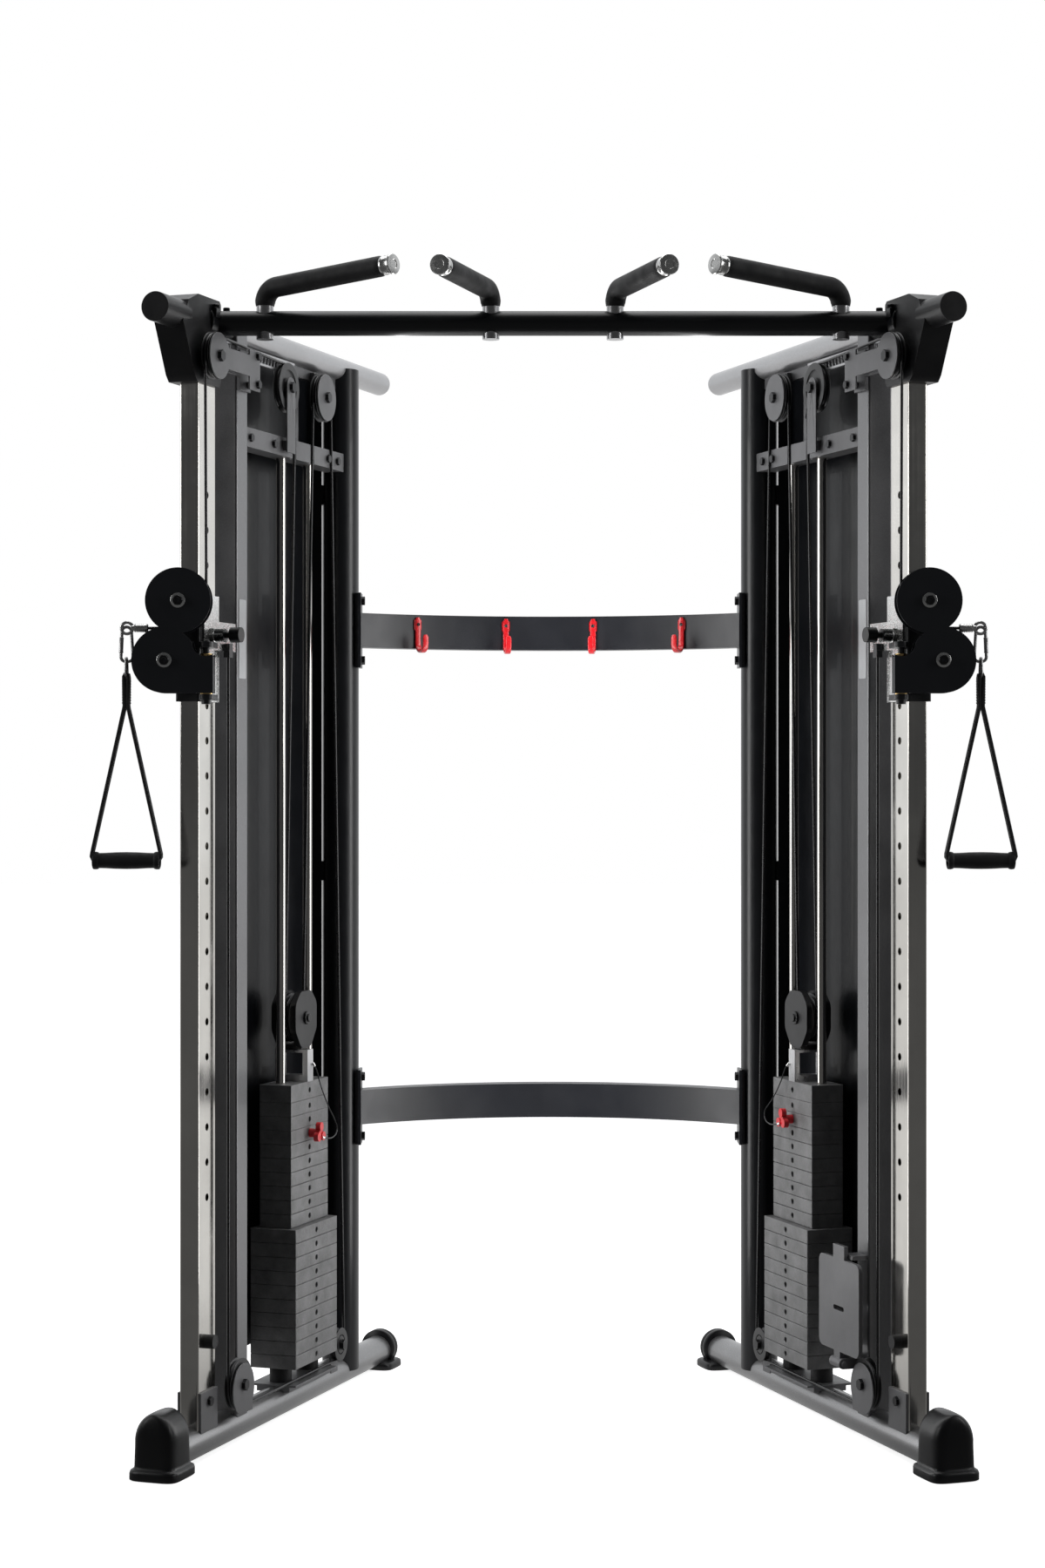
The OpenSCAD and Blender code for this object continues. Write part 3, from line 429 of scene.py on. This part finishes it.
def lathe(profile, at, axis, sides=40, closed=False):
    """profile [(distance along the axis, radius)] turned about the axis."""
    axis = unit(np.array(axis, float))
    other = np.array((0, 0, 1.0)) if abs(axis[2]) < 0.9 else np.array((1.0, 0, 0))
    u = unit(np.cross(axis, other))
    v = np.cross(axis, u)
    at = np.array(at, float)
    rings = [[at + axis * d + max(r, 0.02) * (math.cos(2 * math.pi * k / sides) * u
                                              + math.sin(2 * math.pi * k / sides) * v)
              for k in range(sides)] for d, r in profile]
    return loft(rings, closed)


def slab(outline, low, high, plane="yz"):
    """Outline given in a plane, made solid between low and high on the third axis."""
    order = {"yz": (1, 2, 0), "xy": (0, 1, 2), "xz": (0, 2, 1)}[plane]
    rings = []
    for t in (low, high):
        ring = []
        for p in outline:
            q = [0, 0, 0]
            q[order[0]], q[order[1]], q[order[2]] = p[0], p[1], t
            ring.append(q)
        rings.append(ring)
    return loft(rings)


def corner_box(low, high, r=2, plane="xy"):
    i, j, k = {"yz": (1, 2, 0), "xy": (0, 1, 2), "xz": (0, 2, 1)}[plane]
    a, b = [(low[i], low[j]), (high[i], high[j])]
    outline = fillet([(a[0], a[1], 0), (b[0], a[1], 0), (b[0], b[1], 0), (a[0], b[1], 0)], r, 3, True)
    return slab([p[:2] for p in outline], low[k], high[k], plane)


def piece(name, parts, place, body, slot, material=None, sharp=35, bevel=0.0, stands_for=()):
    """One object from several meshes in mm; it rides on a body and takes a slot's finish."""
    verts, faces, uvs = [], [], []
    for group in parts:
        matrix, (v, f, uv) = group if isinstance(group[0], Matrix) else (place, group)
        start = len(verts)
        verts += [matrix @ Vector(p) for p in v]
        faces += [tuple(start + k for k in face) for face in f]
        uvs += [corner for face in uv for corner in face]
    mesh = bpy.data.meshes.new(name)
    mesh.from_pydata([v[:] for v in verts], [], faces)
    layer = mesh.uv_layers.new(name="UVMap")
    layer.data.foreach_set("uv", [x for corner in uvs for x in corner])
    work = bmesh.new()
    work.from_mesh(mesh)
    bmesh.ops.recalc_face_normals(work, faces=work.faces)
    work.to_mesh(mesh)
    work.free()
    mesh.polygons.foreach_set("use_smooth", [True] * len(mesh.polygons))
    mesh.set_sharp_from_angle(angle=math.radians(sharp))
    mesh.materials.append(material or LOOKS[slot])
    obj = bpy.data.objects.new(name, mesh)
    bpy.context.scene.collection.objects.link(obj)
    if bevel:
        edge = obj.modifiers.new("edges", "BEVEL")
        edge.width, edge.segments, edge.limit_method = bevel * MM, 3, "ANGLE"
        edge.angle_limit = math.radians(sharp)
        obj.modifiers.new("normals", "WEIGHTED_NORMAL").keep_sharp = True
    if body:
        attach(obj, body)
    if stands_for:
        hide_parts(*stands_for)
    return obj


# ---------- cords: the selector pins' lanyards ----------

LANYARD = [(37.5, 606, 690), (42, 612, 676), (46, 620, 650), (50, 634, 622), (53, 650, 598), (56, 664, 580),
           (59, 672, 565), (62, 670, 553), (64, 658, 545), (65, 640, 541), (65, 622, 541), (63.5, 608, 543),
           (61.8, 598, 545)]
PIN_DROP = {-1: 0.0, 1: 27.5}
LANYARD_R = 1.25
# the lanyards' length is that of their drawn loop


def smooth_line(points, per=4):
    """Catmull-Rom line through the points."""
    p = [np.array(q, float) for q in points]
    p = [2 * p[0] - p[1], *p, 2 * p[-1] - p[-2]]
    out = []
    for i in range(1, len(p) - 2):
        for k in range(per):
            t = k / per
            out.append(0.5 * (2 * p[i] + (p[i + 1] - p[i - 1]) * t
                              + (2 * p[i - 1] - 5 * p[i] + 4 * p[i + 1] - p[i + 2]) * t * t
                              + (3 * p[i] - p[i - 1] - 3 * p[i + 1] + p[i + 2]) * t ** 3))
    return np.array([*out, p[-2]])


for side, name in SIDES.items():
    route = smooth_line([(x, y, z + PIN_DROP[side] * min(1, i / 6)) for i, (x, y, z) in enumerate(LANYARD)])
    lanyard = piece(f"lanyard_{name}", [sweep(route, circle(LANYARD_R, 10))], tower(side), None, "cable_black",
                    stands_for=[f"pin_lanyard_{name}"])
    line = [tower(side) @ Vector(p) for p in route]
    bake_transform(lanyard)
    crimps = [lathe([(-3, 2.2), (-2.4, 2.6), (5, 2.6), (6, 1.6)], route[k], route[k + d] - route[k], 16)
              for k, d in ((0, 1), (-1, -1))]
    piece(f"lanyard_crimp_upper_{name}", crimps[:1], tower(side), f"stack_head_{name}", "bolt_zinc", PLATED)
    piece(f"lanyard_crimp_lower_{name}", crimps[1:], tower(side), f"selector_pin_{name}", "bolt_zinc", PLATED)

# ---------- CAD nodes that stay: finish and eased edges ----------

EASED = {  # mm of bevel, where it isn't the usual 0.8
    "top_caps": 3.0, "resting_plates": 1.6, "stack_head_left": 1.6, "stack_head_right": 1.6,
    "front_columns": 1.5, "middle_uprights": 1.5, "pulley_brackets": 0.6, "frame_bolts": 0.8,
    "selector_pin_left": 1.6, "selector_pin_right": 1.6, "latch_pin_left": 1.5, "latch_pin_right": 1.5,
    "pulley_arm_left": 1.0, "pulley_arm_right": 1.0, "foot_plate": 1.5, "rubber_bumpers": 1.6,
    "guide_rods": 0.5, "upper_crossbar": 1.6, "lower_crossbar": 1.6,
}


def eased(name, width):
    obj = NODES[name]
    mesh = obj.data
    if "custom_normal" in mesh.attributes:
        mesh.attributes.remove(mesh.attributes["custom_normal"])
    mesh.polygons.foreach_set("use_smooth", [True] * len(mesh.polygons))
    weld = obj.modifiers.new("weld", "WELD")
    weld.merge_threshold = 0.00002
    edge = obj.modifiers.new("edges", "BEVEL")
    edge.width, edge.segments, edge.limit_method = width * MM, 2, "ANGLE"
    edge.angle_limit = math.radians(38)
    edge.miter_outer = "MITER_ARC"
    obj.modifiers.new("normals", "WEIGHTED_NORMAL").keep_sharp = True


def repaint(name, materials, choose):
    """More than one finish on a CAD node; choose says which from a face's centre in metres."""
    mesh = NODES[name].data
    for m in materials:
        mesh.materials.append(m)
    for face in mesh.polygons:
        face.material_index = choose(face.center)


for part in RECORD["subparts"]:
    mesh = NODES[part["node"]].data
    mesh.materials.clear()
    # the middle uprights take the darker, painted-shade copy of frame_grey
    mesh.materials.append(UPRIGHT_SHADED_GREY if part["node"] == "middle_uprights" else LOOKS[part["material_slot"]])
    eased(part["node"], EASED.get(part["node"], 0.8))

PLATE_FACE_X = 24.9
for side, name in SIDES.items():
    back = tower(side).inverted()
    repaint(f"stack_yoke_{name}", [LOOKS["moulded_black"]], lambda c: int(c.z > 0.7205))
    repaint(f"carriage_{name}", [PLATED],
            lambda c, back=back: int((back @ c).x > PLATE_FACE_X and (back @ c).x < 31.2 and (back @ c).y > 111))

# ---------- cables ----------


def rim(x, pulley, angle):
    a = math.radians(angle)
    return (x, pulley[0] + pulley[2] * math.cos(a), pulley[1] + pulley[2] * math.sin(a))


def wrap(x, pulley, start, end):
    steps = max(2, round(abs(end - start) / 7.5))
    return [rim(x, pulley, start + (end - start) * k / steps) for k in range(steps + 1)]


def straight(a, b, steps=28):
    return [tuple(np.array(a) + (np.array(b) - np.array(a)) * k / steps) for k in range(steps + 1)]


ROUND = circle(CABLE_R, 14)


def cable(name, points, place, body=None, blend=None):
    obj = piece(name, [sweep(points, ROUND)], place, body, "cable_black", stands_for=["cables"])
    if blend:
        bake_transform(obj)
    return obj


for side, name in SIDES.items():
    place = tower(side)
    cable(f"cable_over_{name}", wrap(TOP_PLANE, TOP_FRONT, 180, 90) + wrap(HANG_PLANE, TOP_MIDDLE, 90, 0), place,
          "frame")
    cable(f"cable_stack_front_{name}", straight(rim(HANG_PLANE, TOP_MIDDLE, 0), rim(0, STACK_PULLEY, 180)), place,
          blend=("frame", f"stack_head_{name}"))
    cable(f"cable_under_stack_{name}", wrap(0, STACK_PULLEY, 180, 360), place, f"stack_head_{name}")
    cable(f"cable_stack_rear_{name}", straight(rim(HANG_PLANE, TOP_REAR, 180), rim(0, STACK_PULLEY, 0)), place,
          blend=("frame", f"stack_head_{name}"))
    cable(f"cable_return_{name}", wrap(HANG_PLANE, TOP_REAR, 180, 0) + wrap(LOW_PLANE, REAR_BOTTOM, 360, 270)
          + wrap(LOW_PLANE, FRONT_BOTTOM, 270, 180), place, "frame")
    cable(f"cable_anchor_{name}", straight(rim(LOW_PLANE, FRONT_BOTTOM, 180), ANCHOR), place,
          blend=("frame", f"carriage_{name}"))
    cable(f"cable_drop_{name}", straight(rim(TOP_PLANE, TOP_FRONT, 180), (*PIVOT_AT, ARM_UP[1])), place,
          blend=("frame", f"carriage_{name}"))
    bend = [(ARM_UP[0] + ARM_R * math.cos(a), 0, ARM_UP[1] + ARM_R * math.sin(a))
            for a in np.linspace(math.pi, 1.5 * math.pi, 15)]
    cable(f"cable_arm_{name}", bend, arm(side), f"pulley_arm_{name}")
    cable(f"cable_exit_{name}", straight((ARM_UP[0], 0, EXIT_Z), (STOP_X + 2, 0, EXIT_Z), 16), arm(side),
          blend=(f"pulley_arm_{name}", f"cable_end_{name}"))

# ---------- feet: moulded boots ----------


def ring_at(z, a, b, power, cy=0.0, n=48):
    return [(x, y + cy, z) for x, y in oval(a, b, n, power)]


def front_boot():
    rings = [ring_at(0, 47, 50, 5), ring_at(1.5, 49, 52, 5), ring_at(13, 49, 52, 5), ring_at(17.5, 47.4, 50.4, 5),
             ring_at(19.5, 44, 47, 5), ring_at(22, 41.8, 44.8, 5), ring_at(26, 41.2, 44.2, 5),
             ring_at(44, 40.8, 43.8, 5), ring_at(60, 40.8, 43.8, 4.5), ring_at(72, 41.2, 44.2, 4.2)]
    for z in (80, 88, 96, 103, 109, 113, 116, 118):
        s = math.sqrt(max(0.0, 1 - ((z - 70) / 49.5) ** 2))
        rings.append(ring_at(z, 41.2 * s, 44.2 * (0.52 + 0.48 * s ** 0.5), 4.2 - 1.4 * (1 - s)))
    return loft(rings)


def rear_boot():
    flange = loft([ring_at(0, 44.5, 40.5, 5, -14), ring_at(1.5, 46, 42, 5, -14), ring_at(10, 46, 42, 5, -14),
                   ring_at(13.5, 44.5, 40.5, 5, -14), ring_at(15.5, 40, 37, 5, -14)])
    bell = lathe([(-10, 36.5), (-8.5, 38), (1, 38), (2.5, 37), (4, 38), (12, 38), (16, 36.6), (20, 33.5), (23, 27.5),
                  (24.6, 18), (25.2, 8), (25.3, 0)], (0, 0, 39), (0, 1, 0), 56)
    shift = Matrix.Translation((0, BASE_LENGTH, 0))
    return [(shift, flange), (shift, bell)]


boots = []
for side in SIDES:
    place = tower(side)
    boots.append((place, front_boot()))
    boots += [(place @ shift, part) for shift, part in rear_boot()]
piece("boots", boots, MACHINE, "frame", "rubber", LOOKS["moulded_black"], sharp=50, stands_for=["feet"])

# ---------- pull-up bar: handles, sleeves, plugs, clamps ----------

BAR_LOW, BAR_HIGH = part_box("pull_up_bar")
BAR_Y = (BAR_LOW.y + BAR_HIGH.y) / 2
HANDLE_TUBE_R, SLEEVE_R = 16, 19
HANDLES = (
    [(-538, 0, 2080), (-538, 0, 2174), (-290, -180, 2189)],
    [(-116, 0, 2080), (-116, 0, 2171), (-205, -250, 2176)],
)


def cut(path, start, end):
    """The stretch of a polyline between two distances along it; end counts from its far end."""
    p = np.array(path)
    s = np.concatenate([[0], np.cumsum(np.linalg.norm(np.diff(p, axis=0), axis=1))])
    end = s[-1] - end
    inside = [q for q, d in zip(p, s) if start + 0.5 < d < end - 0.5]
    at = [np.array([np.interp(d, s, p[:, i]) for i in range(3)]) for d in (start, end)]
    return np.array([at[0], *inside, at[1]])


def dense(path, step):
    p = np.array(path)
    s = np.concatenate([[0], np.cumsum(np.linalg.norm(np.diff(p, axis=0), axis=1))])
    t = np.linspace(0, s[-1], max(2, int(s[-1] / step)))
    return np.stack([np.interp(t, s, p[:, i]) for i in range(3)], 1)


bar_place = Matrix.Translation((0, BAR_Y, 0)) @ MACHINE
tubes, sleeves, plugs = [], [], []
for k, points in enumerate(HANDLES):
    path = fillet(points, 30, 10)
    sleeve = dense(cut(path, 62, 22), 4)
    count = len(sleeve)
    sizes = [min(1.0, 0.9 + 0.05 * min(i, count - 1 - i)) for i in range(count)]
    out = path[-1] - path[-2]
    for m in (Matrix.Identity(4), Matrix.Scale(-1, 4, (1, 0, 0))):
        where = m @ bar_place
        tubes.append((where, sweep(path, circle(HANDLE_TUBE_R, 32))))
        sleeves.append((where, sweep(sleeve, circle(SLEEVE_R, 36), sizes=sizes)))
        plugs.append((where, lathe([(-24, 16.4), (-22, 17.4), (-17, 17.4), (-15.5, 16.4), (-4, 16.4), (-3.4, 18.6),
                                    (-0.8, 18.8), (0.8, 17.6), (1.4, 9), (0.2, 8), (0.2, 0)], path[-1], out, 40)))
piece("handle_tubes", tubes, MACHINE, "frame", "tube_silver", stands_for=["pull_up_handles"])
piece("handle_sleeves", sleeves, MACHINE, "frame", "grip_rubber", stands_for=["pull_up_grips"])
piece("handle_plugs", plugs, MACHINE, "frame", "tube_silver", PLATED)

clamps, clamp_bolts = [], []
for side in SIDES:
    place = tower(side)
    middle = (BAR_Y - TOWER_ORIGIN.y) / ALONG.y / MM
    clamps.append((place, lathe([(-36, 25), (-36, 29), (-34, 30.5), (-3, 30.5), (-2, 29.4), (2, 29.4), (3, 30.5),
                                 (34, 30.5), (36, 29), (36, 25)], (0, middle, TOP_Z), (0, 1, 0), 48, closed=True)))
    for dy in (-22, 22):
        clamps.append((place, corner_box((-33, middle + dy - 9, TOP_Z + 6), (-25, middle + dy + 9, TOP_Z + 24), 2)))
        clamps.append((place, corner_box((25, middle + dy - 9, TOP_Z + 6), (33, middle + dy + 9, TOP_Z + 24), 2)))
        for dx in (-1, 1):
            clamp_bolts.append((place, lathe([(0, 6.5), (6, 6.5), (7, 5.5), (7, 3), (4, 3), (4, 0)],
                                             (29 * dx, middle + dy, TOP_Z + 24), (0, 0, 1), 24)))
piece("bar_clamps", clamps, MACHINE, "frame", "frame_black", bevel=0.8)
piece("bar_clamp_bolts", clamp_bolts, MACHINE, "frame", "bolt_zinc")

# ---------- hooks on the upper cross bar ----------

SPLAY = math.atan2(-ACROSS.y, ACROSS.x)
REAR_X = -(TOWER_ORIGIN.x / MM + REAR_Y * math.sin(SPLAY))
REAR_ROW = TOWER_ORIGIN.y / MM + REAR_Y * math.cos(SPLAY)
BAR_END, BOW = REAR_X - 44, 128
BOW_R = (BAR_END ** 2 + BOW ** 2) / (2 * BOW)
UPPER_BAR_Z = 1569
HOOK_ROW, HOOK_FACE = (-277.5, -92.5, 92.5, 277.5), 20  # along the bar; half its depth
hook_line = fillet([(0, -2.8, 30), (0, -2.8, -42.4), (0, -43.2, -42.4), (0, -43.2, -8)], 19.8, 12)
hook_line = dense(hook_line, 2.5)
hook_sizes = [min(1.0, 0.55 + 0.22 * min(i, len(hook_line) - 1 - i)) for i in range(len(hook_line))]
hooks, hook_screws = [], []
for x in HOOK_ROW:
    angle = math.asin(x / (BOW_R - HOOK_FACE))
    where = (MACHINE @ Matrix.Translation((0, REAR_ROW + BOW - BOW_R, UPPER_BAR_Z))
             @ Matrix.Rotation(-angle, 4, "Z") @ Matrix.Translation((0, BOW_R - HOOK_FACE, 0)))
    hooks.append((where, sweep(hook_line, oval(6, 2.8, 20, 5), up=(1, 0, 0), sizes=hook_sizes)))
    hooks.append((where, corner_box((-8, -3.4, 2), (8, -0.2, 26), 4, "xz")))
    hook_screws.append((where, lathe([(0, 3.6), (1.6, 3.2), (2.4, 1.8), (1.4, 1.4), (1.4, 0)], (0, -5.4, 15),
                                     (0, -1, 0), 20)))
piece("hooks", hooks, MACHINE, "frame", "hook_red", sharp=40, stands_for=["accessory_hooks"])
piece("hook_screws", hook_screws, MACHINE, "frame", "bolt_zinc")

# ---------- cable ends and D-handles ----------

STITCH = [lathe([(-1.6, 0.2), (-1.2, 0.55), (1.2, 0.55), (1.6, 0.2)], (0, 0, 0), (0, 0, 1), 8)]
STRAP_W, STRAP_T = 11.8, 3.3
strap_line = fillet([(0, 0, 1452), (-4.2, 0, 1450), (-3.0, 0, 1392), (-63.6, 0, 1118), (-60, 0, GRIP_Z),
                     (60, 0, GRIP_Z), (63.6, 0, 1118), (3.0, 0, 1392), (4.2, 0, 1450)], 6, 5, closed=True)

for side, name in SIDES.items():
    place = arm(side)
    stop = [(0, 5.5), (0.8, 7.4), (3, 8), (6, 8)]
    for k in range(5):
        stop += [(7 + 3.4 * k, 8), (7.5 + 3.4 * k, 7.1), (8.9 + 3.4 * k, 7.1), (9.4 + 3.4 * k, 8)]
    stop += [(25, 7.6), (26, 5.4), (31, 5.4)]
    eye = [(145 + 10.5 * math.cos(a), 0, EXIT_Z + 10.5 * math.sin(a)) for a in np.linspace(0, 2 * math.pi, 33)[:-1]]
    biner = fillet([(-7.5, 0, 1537), (9, 0, 1537), (11.5, 0, RING_Z), (-11.5, 0, RING_Z)], 8.5, 7, closed=True)
    biner = biner + np.array([HANG_X - 1, 0, 0])
    gate = lathe([(-15, 3.1), (-14, 4.1), (-12.6, 4.3), (-11.8, 3.9), (11, 3.9), (12, 4.3), (13.6, 4.1), (14.4, 3.1)],
                 (HANG_X + 9.4, 0, 1504), (-0.036, 0, 1), 28)
    piece(f"cable_stop_body_{name}", [lathe(stop, (STOP_X, 0, EXIT_Z), (1, 0, 0), 36),
                                      sweep(eye, circle(3.1, 14), closed=True, up=(0, 1, 0))],
          place, f"cable_end_{name}", "yoke_silver", PLATED, stands_for=[f"cable_stop_{name}"])
    piece(f"carabiner_{name}", [sweep(biner, circle(3.0, 16), closed=True, up=(0, 1, 0)), gate], place,
          f"cable_end_{name}", "yoke_silver", FORGED)
    # the ring hangs on the carabiner's lower bar, across it, and turns about that bar
    ring = fillet([(HANG_X, -12.5, 1446), (HANG_X, 12.5, 1446), (HANG_X, 6.1, RING_Z + 6.1),
                   (HANG_X, -6.1, RING_Z + 6.1)], 5.9, 6, closed=True)
    piece(f"handle_ring_{name}", [sweep(ring, circle(2.7, 14), closed=True, up=(1, 0, 0))],
          place, f"handle_{name}", "yoke_silver", FORGED)
    hang = place @ Matrix.Translation((HANG_X, 0, 0))
    webbing = dense(np.vstack([strap_line, strap_line[:1]]), 6)[:-1]
    piece(f"strap_{name}", [sweep(webbing, oval(STRAP_W, STRAP_T, 20, 5), closed=True, up=(0, 1, 0))], hang,
          f"handle_{name}", "webbing", sharp=50, stands_for=[f"handle_strap_{name}"])
    stitches = []
    for face in (-1, 1):
        for y in (-8.5, 0, 8.5):
            for k in range(9):
                lean = 3.2 + 0.12 * k * 0.2
                at = Matrix.Translation((face * (lean + STRAP_T + 0.2), y + (k - 4) * (0.6 if y == 0 else 0),
                                         1398 + 5 * k))
                stitches.append((hang @ at, STITCH[0]))
    piece(f"strap_stitching_{name}", stitches, MACHINE, f"handle_{name}", "webbing",
          rubbery("thread", (0.05, 0.05, 0.052)) if side < 0 else bpy.data.materials["thread"])
    barrel = [(-61, 12.6), (-61.4, 14.6), (-60, 16), (-55, 16.3), (-51.5, 15.4), (-50.4, 14.2), (-49, 13.9),
              (-38, 14.2), (-20, 15.2), (0, 15.6), (20, 15.2), (38, 14.2), (49, 13.9), (50.4, 14.2), (51.5, 15.4),
              (55, 16.3), (60, 16), (61.4, 14.6), (61, 12.6)]
    piece(f"grip_{name}", [lathe(barrel, (0, 0, GRIP_Z), (1, 0, 0), 48, closed=True)], hang, f"handle_{name}",
          "grip_rubber", stands_for=[f"handle_grip_{name}"])
    liner = [(-62, 12.2), (-62, 12.8), (-60.5, 13.2), (60.5, 13.2), (62, 12.8), (62, 12.2)]
    piece(f"grip_liner_{name}", [lathe(liner, (0, 0, GRIP_Z), (1, 0, 0), 40, closed=True)], hang, f"handle_{name}",
          "moulded_black")

# ---------- small parts ----------

for side, name in SIDES.items():
    place = tower(side)
    # perforated strip below the top tube, between the front column and the stack
    strip = []
    for z in (2062, 2083):
        strip.append(sweep(straight((14, 190, z), (14, 560, z), 2), oval(2.8, 2.8, 12, 4), up=(0, 0, 1)))
    for k in range(25):
        y = 194 + 14.8 * k
        strip.append(sweep([(14, y, 2062), (14, y + 8, 2083)], circle(2.3, 10)))
    piece(f"laced_strip_{name}", strip, place, "frame", "tube_silver")
    # blank placard on the upright's inner face
    piece(f"placard_{name}", [corner_box((24.6, 276, 1450), (25.7, 308, 1600), 3, "yz")], place, "frame",
          "frame_grey", PLACARD, bevel=0.3)
    # washers, socket caps and a brass bush on the arm
    bolts, washers = [], []
    for d, z in (ARM_UP, ARM_LOW):
        for face in (-1, 1):
            washers.append(lathe([(0, 13), (0.4, 13.6), (1.4, 13.6), (1.8, 13)], (d, face * 19, z), (0, face, 0), 36))
            bolts.append(lathe([(0, 9.2), (6.4, 9.2), (7.4, 8.2), (7.4, 4.4), (4, 4), (4, 0)], (d, face * 19, z),
                               (0, face, 0), 36))
    piece(f"arm_washers_{name}", washers, arm(side), f"pulley_arm_{name}", "bolt_zinc", PLATED)
    piece(f"arm_bolts_{name}", bolts, arm(side), f"pulley_arm_{name}", "bolt_zinc")
    piece(f"arm_bush_{name}", [lathe([(0, 6.4), (0, 11), (4, 11.4), (5, 10.6), (5, 6.4)], (0, 0, z), (0, 0, 1), 32,
                                     closed=True) for z in (1412, 1483.5)],
          arm(side), f"pulley_arm_{name}", "bolt_zinc", BRASS)
    # housing over the moving pulley: two cheeks with a hub on each
    cheeks = []
    for face in (-1, 1):
        outline = fillet([(STACK_Y - 24, 724, 0), (STACK_Y + 24, 724, 0), (STACK_Y + 53, 760, 0),
                          (STACK_Y + 53, 812, 0), (STACK_Y + 26, 837, 0), (STACK_Y - 26, 837, 0),
                          (STACK_Y - 53, 812, 0), (STACK_Y - 53, 760, 0)], 22, 6, True)
        edge = [q[:2] for q in outline]
        cheeks.append(slab(edge, *sorted((face * 13.2, face * 26.4)), "yz"))
        cheeks.append(lathe([(0, 13), (3, 13), (4, 12), (4, 8), (7, 8), (8, 7), (8, 0)],
                            (face * 26.4, STACK_Y, STACK_PULLEY[1]), (face, 0, 0), 32))
    piece(f"pulley_housing_{name}", cheeks, place, f"stack_head_{name}", "pulley_black", LOOKS["moulded_black"],
          bevel=2.2)
    # spring housing of the latch
    piece(f"latch_barrel_{name}", [lathe([(0, 14), (1, 15), (6, 15), (7, 13.4), (24, 13.4), (25.5, 12.4), (25.5, 7)],
                                         (31, COLUMN_Y, 1525), (1, 0, 0), 6)],
          place, f"carriage_{name}", "bolt_zinc", PLATED, bevel=0.6)

# ---------- daylight studio ----------

scene = bpy.context.scene
world = bpy.data.worlds.new("studio")
scene.world = world
world.use_nodes = True
wt = world.node_tree
wt.nodes.clear()


def wnode(kind, **inputs):
    n = wt.nodes.new(kind)
    for key, value in inputs.items():
        n.inputs[key].default_value = value
    return n


direction = wnode("ShaderNodeTexCoord")
axes = wnode("ShaderNodeSeparateXYZ")
wt.links.new(direction.outputs["Generated"], axes.inputs[0])
backdrop = wnode("ShaderNodeMapRange", **{"From Min": -0.1, "From Max": 0.5, "To Min": 0.06, "To Max": 0.95})
wt.links.new(axes.outputs["Y"], backdrop.inputs["Value"])
room = wnode("ShaderNodeBackground")
room.inputs["Color"].default_value = (0.97, 0.985, 1.0, 1)
wt.links.new(backdrop.outputs["Result"], room.inputs["Strength"])
white = wnode("ShaderNodeBackground")
white.inputs["Color"].default_value = (1, 1, 1, 1)
white.inputs["Strength"].default_value = 1.0
seen = wnode("ShaderNodeLightPath")
choice = wnode("ShaderNodeMixShader")
wt.links.new(seen.outputs["Is Camera Ray"], choice.inputs[0])
wt.links.new(room.outputs[0], choice.inputs[1])
wt.links.new(white.outputs[0], choice.inputs[2])
wt.links.new(choice.outputs[0], wnode("ShaderNodeOutputWorld").inputs[0])


def softbox(name, at, aim, size, power):
    light = bpy.data.lights.new(name, "AREA")
    light.shape, light.size, light.size_y = "RECTANGLE", *size
    light.energy = power
    obj = bpy.data.objects.new(name, light)
    obj.location = at
    obj.rotation_euler = (Vector(aim) - Vector(at)).to_track_quat("-Z", "Y").to_euler()
    obj.visible_camera = False
    scene.collection.objects.link(obj)


softbox("left_side", (-4.4, -1.5, 2.6), (0, 0, 1.2), (1.2, 2.6), 46)
softbox("right_side", (4.4, -1.5, 2.6), (0, 0, 1.2), (1.2, 2.6), 42)
softbox("top", (0, 0.2, 4.6), (0, 0, 1), (3.0, 2.4), 50)
for lean in (-1, 1):
    softbox(f"inner_{lean}", (0.3 * lean, 0.06, 1.1), (-0.6 * lean, 0.02, 1.1), (0.3, 1.9), 9)

floor = bpy.data.meshes.new("floor")
EXTENT = 30
floor.from_pydata([(-EXTENT, -EXTENT, 0), (EXTENT, -EXTENT, 0), (EXTENT, EXTENT, 0), (-EXTENT, EXTENT, 0)], [],
                  [(0, 1, 2, 3)])
pale = Look("floor")
pale.shader.inputs["Base Color"].default_value = (0.9, 0.9, 0.9, 1)
pale.shader.inputs["Roughness"].default_value = 0.9
pale.shader.inputs["Emission Color"].default_value = (1, 1, 1, 1)
pale.shader.inputs["Emission Strength"].default_value = 0.72
studio_floor = pale.node("ShaderNodeEmission")
lengthwise = pale.node("ShaderNodeSeparateXYZ")
pale.link(pale.coordinates.outputs["Object"], lengthwise.inputs[0])
pale.link(pale.span(lengthwise.outputs["Y"], 0.09, 0.8, -0.7, 0.9), studio_floor.inputs["Strength"])
first_look = pale.node("ShaderNodeLightPath")
either = pale.node("ShaderNodeMixShader")
pale.link(first_look.outputs["Is Camera Ray"], either.inputs[0])
pale.link(studio_floor.outputs[0], either.inputs[1])
pale.link(pale.shader.outputs[0], either.inputs[2])
pale.link(either.outputs[0], pale.tree.nodes["Material Output"].inputs["Surface"])
floor.materials.append(pale.material)
ground = bpy.data.objects.new("floor", floor)
scene.collection.objects.link(ground)
scene.view_settings.view_transform = "Standard"
